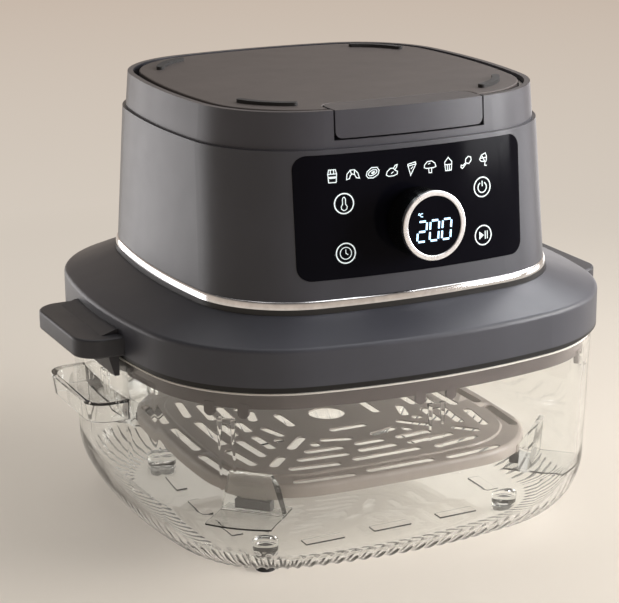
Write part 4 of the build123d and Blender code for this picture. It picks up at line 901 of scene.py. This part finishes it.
def make_plate():
    """Crisper plate: turned-down rim, border, step, middle field and tabs."""
    mesh = bmesh.new()
    count = PLATE_COLUMNS
    columns = outline_columns(PLATE, count)
    low, high, sheet = PLATE_BORDER_Z, PLATE_Z, PLATE_SHEET
    profile_ring(mesh, columns, [
        (PLATE_EDGE, low), (1.7, low - 0.25), (0.7, low - 0.95), (0.15, low - 2.0), (0.0, low - 3.2),
        (0.0, PLATE_RIM_Z), (sheet, PLATE_RIM_Z), (sheet, low - 3.2), (sheet + 0.3, low - 2.1),
        (sheet + 0.9, low - 1.3), (PLATE_EDGE, low - sheet),
    ])
    border, step = PLATE_BORDER - PLATE_STEP, PLATE_BORDER + PLATE_STEP
    profile_ring(mesh, columns, [
        (border, low), (border + 0.5, low + 0.2), (step - 0.5, high - 0.2), (step, high),
        (step, high - sheet), (step - 0.5, high - sheet - 0.2), (border + 0.5, low - sheet + 0.2),
        (border, low - sheet),
    ])
    slots = plate_slots()
    outer = [loop for distance, loop in slots if distance > BORDER_ROWS]
    inner = [loop for distance, loop in slots if distance <= BORDER_ROWS]
    edges = [plan_loop(PLATE, PLATE_EDGE, count), plan_loop(PLATE, border, count)]
    flat_sheet(mesh, edges + outer, low - sheet, low)
    inner.append([spot[:2] for spot in circle(0, 0, PLATE_HOLE, 0)])
    flat_sheet(mesh, [plan_loop(PLATE, step, count)] + inner, high - sheet, high)
    half, tab_z = PLATE_TAB
    root_z = PLATE_RIM_Z + 4
    for spot, normal in corner_spots(PLATE):
        loop = [(-half, root_z), (-half, tab_z), (half, tab_z), (half, root_z)]
        upright_block(mesh, spot, normal, PLATE_TAB_INSETS, loop, 0.3)
    bmesh.ops.remove_doubles(mesh, verts=mesh.verts, dist=0.001)
    plate = link_mesh("slotted_plate", mesh, "plate_coating", PLATE_ANGLE)
    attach(plate, "crisper")
    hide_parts("crisper_plate")


# Skirt inside the bowl's rim, with a flange of two insets and two levels, and with pairs of
# round lugs beside the keys
SKIRT_OUTER = 8.3
SKIRT_INNER = 10.8
SKIRT_Z = 116.4
SKIRT_FLANGE = (3.2, 15.8, 130.0, 132.5)
LUG_SPREAD = 10.0
LUG_RADIUS = 3.2
LUG_Z = 114.0
LUG_STEPS = 10


def make_skirt():
    """Skirt with its flange and lugs."""
    mesh = bmesh.new()
    columns = outline_columns(COLLAR, RING_COLUMNS)
    flange_outer, flange_inner, flange_low, flange_top = SKIRT_FLANGE
    outer, inner, low = SKIRT_OUTER, SKIRT_INNER, SKIRT_Z
    profile_ring(mesh, columns, [
        (flange_outer, flange_low), (outer, flange_low), (outer, low + 0.9), (outer + 0.3, low + 0.25),
        (outer + 0.9, low), (inner - 0.9, low), (inner - 0.3, low + 0.25), (inner, low + 0.9),
        (inner, flange_low), (flange_inner, flange_low), (flange_inner, flange_top),
        (flange_outer, flange_top),
    ])
    for spot, normal in key_spots():
        for shift in (-LUG_SPREAD, LUG_SPREAD):
            loop = [(shift - LUG_RADIUS, low + 3), (shift + LUG_RADIUS, low + 3)]
            for step in range(LUG_STEPS + 1):
                turn = -math.pi * step / LUG_STEPS
                loop.append((shift + LUG_RADIUS * math.cos(turn), LUG_Z + LUG_RADIUS * math.sin(turn)))
            upright_block(mesh, spot, normal, (outer + 0.1, inner - 0.1), loop, 0)
    ring = link_mesh("skirt_band", mesh, "skirt_plastic", RING_ANGLE)
    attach(ring, "head")
    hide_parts("skirt_ring")


# Control panel's curved front and the lift of its signs. Touch fields: their places, radius and
# line. Food signs: pitch, first place, level and line. Dial: level, reach to its lens.
PANEL = {"foot_y": 120.8, "head_y": 114.1, "foot_z": 172.8, "height": 85.2, "proud": 0.3}
PANEL_SIDE = (440, 420)
SIGN_LIFT = 0.06
TOUCH_X = 45
TOUCH_Z = (227, 198.6)
TOUCH_RING = (5.7, 0.75)
FOOD_ROW = (12.2, -51.4, 243.0, 0.55)
DIAL_Z = 212.8
LENS_LIFT = 20.86

# Digits: pitch, drop below the dial's middle, width, height, slant, line and gap between segments
DIGIT_PITCH = 7.9
DIGIT_DROP = 2.6
DIGIT_SIZE = (5.6, 11.4)
DIGIT_SLANT = 0.10
DIGIT_LINE = 1.15
DIGIT_GAP = 0.35
SEGMENTS = {"2": "abged", "0": "abcdef"}


def panel_point(x, z, lift):
    """Point on the panel's curved front."""
    share = (z - PANEL["foot_z"]) / PANEL["height"]
    half_y = PANEL["foot_y"] + (PANEL["head_y"] - PANEL["foot_y"]) * share + PANEL["proud"]
    foot_side, head_side = PANEL_SIDE
    side = foot_side + (head_side - foot_side) * share + PANEL["proud"]
    y = -half_y + side - math.sqrt(side ** 2 - x ** 2)
    return Vector((x, y - lift, z))


class Signs:
    """Flat signs drawn as ribbons and filled shapes on a surface."""

    def __init__(self, place):
        self.mesh = bmesh.new()
        self.place = place
        self.move(0, 0)

    def move(self, x, z):
        """Set the origin of what is drawn next."""
        self.x, self.z = x, z

    def face(self, points):
        """Filled shape."""
        spots = [self.place(self.x + x, self.z + z) for x, z in points]
        self.mesh.faces.new([self.mesh.verts.new(spot) for spot in spots])

    def line(self, points, width, closed=False):
        """Ribbon along some points, with mitred bends."""
        pts = [Vector(p) for p in points]
        count = len(pts)
        left, right = [], []
        for i, p in enumerate(pts):
            before = pts[i - 1] if i or closed else p
            after = pts[(i + 1) % count] if i < count - 1 or closed else p
            runs = [run.normalized() for run in (p - before, after - p) if run.length]
            normals = [Vector((-run.y, run.x)) for run in runs]
            mean = normals[0] + normals[-1]
            mean = mean.normalized() if mean.length > 1e-6 else normals[0]
            reach = width / 2 / max(mean.dot(normals[0]), 0.4)
            left.append(p + mean * reach)
            right.append(p - mean * reach)
        spans = count if closed else count - 1
        for i in range(spans):
            j = (i + 1) % count
            self.face([tuple(left[i]), tuple(right[i]), tuple(right[j]), tuple(left[j])])

    def ring(self, cx, cz, radius, width, start=0, sweep=360, steps=40):
        """Ribbon round a circle or along an arc, in degrees."""
        closed = sweep == 360
        count = steps if closed else steps + 1
        pts = []
        for i in range(count):
            a = math.radians(start + sweep * i / steps)
            pts.append((cx + radius * math.cos(a), cz + radius * math.sin(a)))
        self.line(pts, width, closed)

    def done(self, name, look, rider):
        """One piece of all that was drawn."""
        obj = link_mesh(name, self.mesh, look)
        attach(obj, rider)


def touch_rings():
    """Four touch fields: thermometer, clock, power and play or pause."""
    s = Signs(lambda x, z: panel_point(x, z, SIGN_LIFT))
    for x in (-TOUCH_X, TOUCH_X):
        for z in TOUCH_Z:
            s.ring(x, z, *TOUCH_RING)
    high, low = TOUCH_Z
    # thermometer
    s.move(-TOUCH_X, high)
    s.line([(-0.9, 2.6), (-0.4, 3.5), (0.4, 3.5), (0.9, 2.6), (0.9, -0.4), (1.8, -1.7), (1.6, -3.1),
            (0.5, -3.9), (-0.5, -3.9), (-1.6, -3.1), (-1.8, -1.7), (-0.9, -0.4)], 0.5, True)
    # clock
    s.move(-TOUCH_X, low)
    s.ring(0, 0, 3.4, 0.5)
    s.line([(0, 2.2), (0, 0), (1.4, -1.0)], 0.5)
    # power
    s.move(TOUCH_X, high)
    s.ring(0, -0.2, 3.0, 0.7, 118, 304)
    s.line([(0, 3.6), (0, 0.4)], 0.7)
    # play and pause
    s.move(TOUCH_X, low)
    s.face([(-2.8, -2.4), (0.4, 0), (-2.8, 2.4)])
    s.line([(1.4, 2.4), (1.4, -2.4)], 0.6)
    s.line([(2.9, 2.4), (2.9, -2.4)], 0.6)
    s.done("touch_signs", "sign_light", "head")


def food_signs():
    """Nine small food signs in a row."""
    s = Signs(lambda x, z: panel_point(x, z, SIGN_LIFT))
    pitch, left, level, width = FOOD_ROW

    def draw(index, strokes, fills=()):
        """One sign: its lines, open or closed, and its filled shapes."""
        s.move(left + pitch * index, level)
        for points, closed in strokes:
            s.line(points, width, closed)
        for points in fills:
            s.face(points)

    # fries in a box
    draw(0, [([(-2.6, 1.2), (-2.2, -3.6), (2.2, -3.6), (2.6, 1.2)], True),
             ([(-2.6, 1.2), (-2.0, 3.6), (2.0, 3.6), (2.6, 1.2)], False),
             ([(-1.0, 3.4), (-1.0, 1.4)], False), ([(0.9, 3.4), (0.9, 1.4)], False)],
         [[(-2.2, -0.2), (-1.9, -1.4), (1.9, -1.4), (2.2, -0.2)]])
    # crescent roll
    draw(1, [([(-3.8, -2.6), (-3.4, 0.4), (-1.4, 2.6), (1.2, 2.6), (3.2, 0.6), (4.0, -2.4), (2.2, -2.0),
              (1.2, -0.2), (-0.2, 0.4), (-1.4, -0.4), (-2.0, -2.2)], True),
             ([(-1.4, 2.6), (-0.8, 0.3)], False), ([(1.2, 2.6), (1.0, 0.0)], False)])
    # steak
    draw(2, [([(-4.0, -1.4), (-3.4, 0.8), (-0.6, 2.9), (2.8, 2.8), (4.0, 1.0), (3.2, -1.4), (0.2, -3.0),
              (-2.8, -2.8)], True),
             ([(-2.8, -0.9), (-2.2, 0.4), (0.0, 1.6), (2.2, 1.5), (2.7, 0.6), (1.8, -0.6), (-0.4, -1.6),
              (-2.0, -1.6)], True)],
         [[(-1.0, -0.5), (-0.6, 0.4), (0.9, 0.9), (1.5, 0.4), (0.9, -0.4), (-0.2, -0.8)]])
    # roast bird
    draw(3, [([(-3.8, -2.2), (-3.2, -0.2), (-1.2, 1.4), (0.8, 1.4), (1.6, 0.2), (3.2, -0.6), (3.0, -2.2),
              (0.6, -3.0), (-2.4, -3.0)], True),
             ([(0.8, 1.4), (2.0, 3.0), (3.2, 3.2), (2.9, 2.2), (1.6, 0.2)], False),
             ([(-0.8, -1.6), (0.8, -0.6)], False)])
    # pizza slice
    draw(4, [([(-2.4, 2.6), (2.6, 3.6), (3.0, 2.4), (-0.6, -3.8), (-2.4, 2.6)], False),
             ([(-2.1, 1.6), (2.6, 2.4)], False), ([(-0.4, -0.2), (0.4, 0.6)], False),
             ([(0.9, 0.4), (0.9, 1.2)], False)])
    # mushroom
    draw(5, [([(-3.9, -0.4), (-3.6, 1.2), (-1.8, 2.9), (1.0, 3.1), (3.2, 1.7), (3.9, -0.4), (2.2, -0.9),
              (-2.4, -0.9)], True),
             ([(-1.0, -0.9), (-0.8, -3.6), (0.9, -3.6), (1.0, -0.9)], False),
             ([(-1.2, 1.4), (0.2, 1.9)], False)])
    # cake in a cup
    draw(6, [([(-2.3, -0.2), (-1.9, -3.6), (1.9, -3.6), (2.3, -0.2)], True),
             ([(-2.3, -0.2), (-2.4, 1.4), (-1.2, 2.6), (0, 3.9), (1.2, 2.6), (2.4, 1.4),
               (2.3, -0.2)], False),
             ([(-0.7, -0.4), (-0.6, -3.4)], False), ([(0.7, -0.4), (0.6, -3.4)], False)])
    # drumstick
    draw(7, [([(-0.4, -0.6), (-0.2, 1.6), (1.6, 3.0), (3.4, 2.4), (3.6, 0.6), (2.0, -1.2),
              (-0.4, -0.6)], False),
             ([(-0.4, -0.6), (-2.2, -2.0), (-3.4, -1.6), (-3.6, -2.8), (-2.6, -3.6), (-1.8, -2.9),
              (0.0, -1.2)], False)])
    # cone of corn
    draw(8, [([(-2.6, 0.2), (-1.2, 2.6), (1.6, 3.6), (2.4, 1.4), (2.0, -1.4), (0.4, -1.2),
              (-1.6, -1.0)], True),
             ([(-1.2, 2.6), (1.0, -1.2)], False), ([(-2.0, 0.8), (2.2, 1.0)], False),
             ([(1.2, -1.4), (1.0, -3.6), (2.4, -3.8)], False)])
    s.done("food_signs", "sign_light", "head")


def dial_digits():
    """Temperature digits behind the dial's dark lens."""
    lean = math.atan((PANEL["foot_y"] - PANEL["head_y"]) / PANEL["height"])
    origin = panel_point(0, DIAL_Z, 0)
    out = Vector((0, -math.cos(lean), math.sin(lean)))
    up = Vector((0, math.sin(lean), math.cos(lean)))
    s = Signs(lambda x, z: origin + Vector((x, 0, 0)) + up * z + out * LENS_LIFT)
    width, height = DIGIT_SIZE
    mid_z = -DIGIT_DROP
    top_z, low_z = mid_z + height / 2, mid_z - height / 2
    for index, digit in enumerate("200"):
        middle = (index - 1) * DIGIT_PITCH
        x0, x1 = middle - width / 2, middle + width / 2
        ends = {
            "a": ((x0, top_z), (x1, top_z)), "b": ((x1, top_z), (x1, mid_z)),
            "c": ((x1, mid_z), (x1, low_z)), "d": ((x0, low_z), (x1, low_z)),
            "e": ((x0, mid_z), (x0, low_z)), "f": ((x0, top_z), (x0, mid_z)),
            "g": ((x0, mid_z), (x1, mid_z)),
        }
        for key in SEGMENTS[digit]:
            first, last = (Vector(spot) for spot in ends[key])
            step = (last - first).normalized() * (DIGIT_LINE + DIGIT_GAP) / 2
            stroke = (first + step, last - step)
            s.line([(spot.x + DIGIT_SLANT * spot.y, spot.y) for spot in stroke], DIGIT_LINE)
    s.ring(-9.6, 7.4, 0.55, 0.35, steps=12)
    s.ring(-7.9, 6.8, 0.95, 0.4, 50, 260, 14)
    s.done("dial_digits", "digit_light", "head")


# Pale floor that keeps the soft shadow and glows evenly further off, like a lit studio sweep.
# Distances are in metres. The glow grows to its full level between those of FLOOR_BLEND.
NEAR_FLOOR = (230, 222, 211)
FLOOR_SPREAD = 0.015
NEAR_GLOW = 0.24
FLOOR_BLEND = (0.30, 0.85)
FAR_COLOURS = [(0.30, (226, 217, 206)), (0.75, (212, 202, 190)), (2.40, (200, 185, 171))]
FLOOR_HALF = 6.0

# Colour of most lights
COOL_LIGHT = (0.98, 0.98, 1.0)


def make_stage():
    """Floor that the part stands on."""
    m = Mat("floor_paper")
    near = to_linear(NEAR_FLOOR)
    m.colour(m.noise(3, 2), shade(near, 1 - FLOOR_SPREAD), shade(near, 1 + FLOOR_SPREAD))
    m.set(Roughness=1.0, Specular_IOR_Level=0.0)
    away = m.node("ShaderNodeVectorMath", Vector=m.coord.outputs["Object"])
    away.operation = "LENGTH"
    away = away.outputs["Value"]
    span = FAR_COLOURS[-1][0]
    stops = [(distance / span, to_linear(colour)) for distance, colour in FAR_COLOURS]
    far = add_ramp(m.tree, m.calc("DIVIDE", away, span), stops)
    glow_node = m.node("ShaderNodeEmission", Color=far)
    path = m.node("ShaderNodeLightPath").outputs
    seen = m.calc("MAXIMUM", path["Is Camera Ray"], path["Is Glossy Ray"])
    seen = m.calc("MAXIMUM", seen, path["Is Transmission Ray"])
    begin, end = FLOOR_BLEND
    fade = m.node("ShaderNodeMapRange", Value=away, From_Min=begin, From_Max=end, To_Min=NEAR_GLOW)
    share = m.calc("MULTIPLY", fade.outputs["Result"], seen)
    surface = add_mix(m.tree, share, m.bsdf.outputs["BSDF"], glow_node.outputs["Emission"])
    m.tree.links.new(surface, m.tree.nodes["Material Output"].inputs["Surface"])
    mesh = bmesh.new()
    mesh.faces.new([mesh.verts.new(spot) for spot in rectangle(0, 0, FLOOR_HALF, FLOOR_HALF, 0)])
    data = bpy.data.meshes.new("floor")
    mesh.to_mesh(data)
    mesh.free()
    data.materials.append(looks["floor_paper"])
    floor = add_object("floor", data)


def lamp(name, spot, aim, size, level, colour, gloss_only=False):
    """Rectangular soft light of a given radiance, not seen by the camera."""
    data = bpy.data.lights.new(name, "AREA")
    data.shape = "RECTANGLE"
    data.size, data.size_y = size
    data.energy = level * math.pi * size[0] * size[1]
    data.color = colour
    obj = add_object(name, data)
    turn = (Vector(aim) - Vector(spot)).to_track_quat("-Z", "Y").to_matrix().to_4x4()
    obj.matrix_world = Matrix.Translation(spot) @ turn
    obj.visible_camera = False
    if gloss_only:
        obj.visible_diffuse = False
        obj.visible_transmission = False


def card(name, spot, aim, size, level, colour=COOL_LIGHT):
    """Soft light that only shows as a highlight."""
    lamp(name, spot, aim, size, level, colour, True)


# Studio seen by camera, gloss and glass: bright at the horizon, dim overhead
SKY_COLOURS = [
    (0.0, (200, 185, 171)),
    (0.30, (186, 173, 160)),
    (0.60, (112, 106, 102)),
    (1.0, (90, 88, 88)),
]
SKY_LIGHT = (1.0, 0.95, 0.88, 1)
SKY_LEVEL = 0.25
GLASS_SKY = (226, 220, 212)


def make_world():
    """Sky: one for light, one seen through glass and one seen directly and in gloss."""
    world = bpy.data.worlds.new("world")
    bpy.context.scene.world = world
    world.use_nodes = True
    tree = world.node_tree
    light = tree.nodes["Background"]
    light.inputs["Color"].default_value = SKY_LIGHT
    light.inputs["Strength"].default_value = SKY_LEVEL
    coord = add_node(tree, "ShaderNodeTexCoord")
    split = add_node(tree, "ShaderNodeSeparateXYZ", Vector=coord.outputs["Generated"])
    stops = [(height, to_linear(colour)) for height, colour in SKY_COLOURS]
    seen = add_node(tree, "ShaderNodeBackground", Color=add_ramp(tree, split.outputs["Z"], stops))
    through = add_node(tree, "ShaderNodeBackground", Color=to_linear(GLASS_SKY))
    path = add_node(tree, "ShaderNodeLightPath").outputs
    surface = seen.outputs["Background"]
    for ray, other in (("Is Transmission Ray", through), ("Is Diffuse Ray", light)):
        surface = add_mix(tree, path[ray], surface, other.outputs["Background"])
    tree.links.new(surface, tree.nodes["World Output"].inputs["Surface"])


def make_lights():
    """Soft boxes, then the cards for highlights on the shoulder, the tower and the glass."""
    lamp("key_box", (1.125, -0.545, 0.63), (0, 0, 0.05), (0.9, 0.7), 9.0, (1.0, 0.97, 0.93))
    lamp("side_box", (0.90, -0.80, 0.34), (0, 0, 0.18), (0.5, 0.4), 11.5, COOL_LIGHT)
    card("shoulder_card", (0.66, 0.27, 0.88), (0.05, -0.12, 0.16), (0.42, 0.42), 8.0)
    card("tower_card", (0.68, -0.095, 0.15), (0.08, -0.1, 0.22), (0.3, 0.18), 1.8)
    lamp("top_box", (0.1, 0.5, 1.9), (0, 0, 0.2), (1.4, 1.4), 1.6, (1.0, 0.98, 0.96))
    card("left_card", (-0.435, 0.45, 0.13), (-0.12, 0, 0.13), (0.58, 0.26), 2.0, (0.98, 0.97, 1.0))
    card("right_card", (0.95, 0.0, 0.66), (0.1, -0.05, 0.16), (0.6, 0.4), 1.6)
    card("back_right_card", (0.55, 0.45, 0.14), (0.1, 0, 0.18), (0.45, 0.24), 1.1)
    card("over_card", (0.45, -0.40, 1.2), (0, 0, 0.2), (0.9, 0.7), 2.4, (1.0, 1.0, 1.0))


make_camera()
make_bowl()
make_plate()
make_skirt()
make_rim_edge()
make_chrome_ring()
touch_rings()
food_signs()
dial_digits()
make_stage()
make_world()
make_lights()
bpy.context.scene.view_settings.view_transform = "Standard"
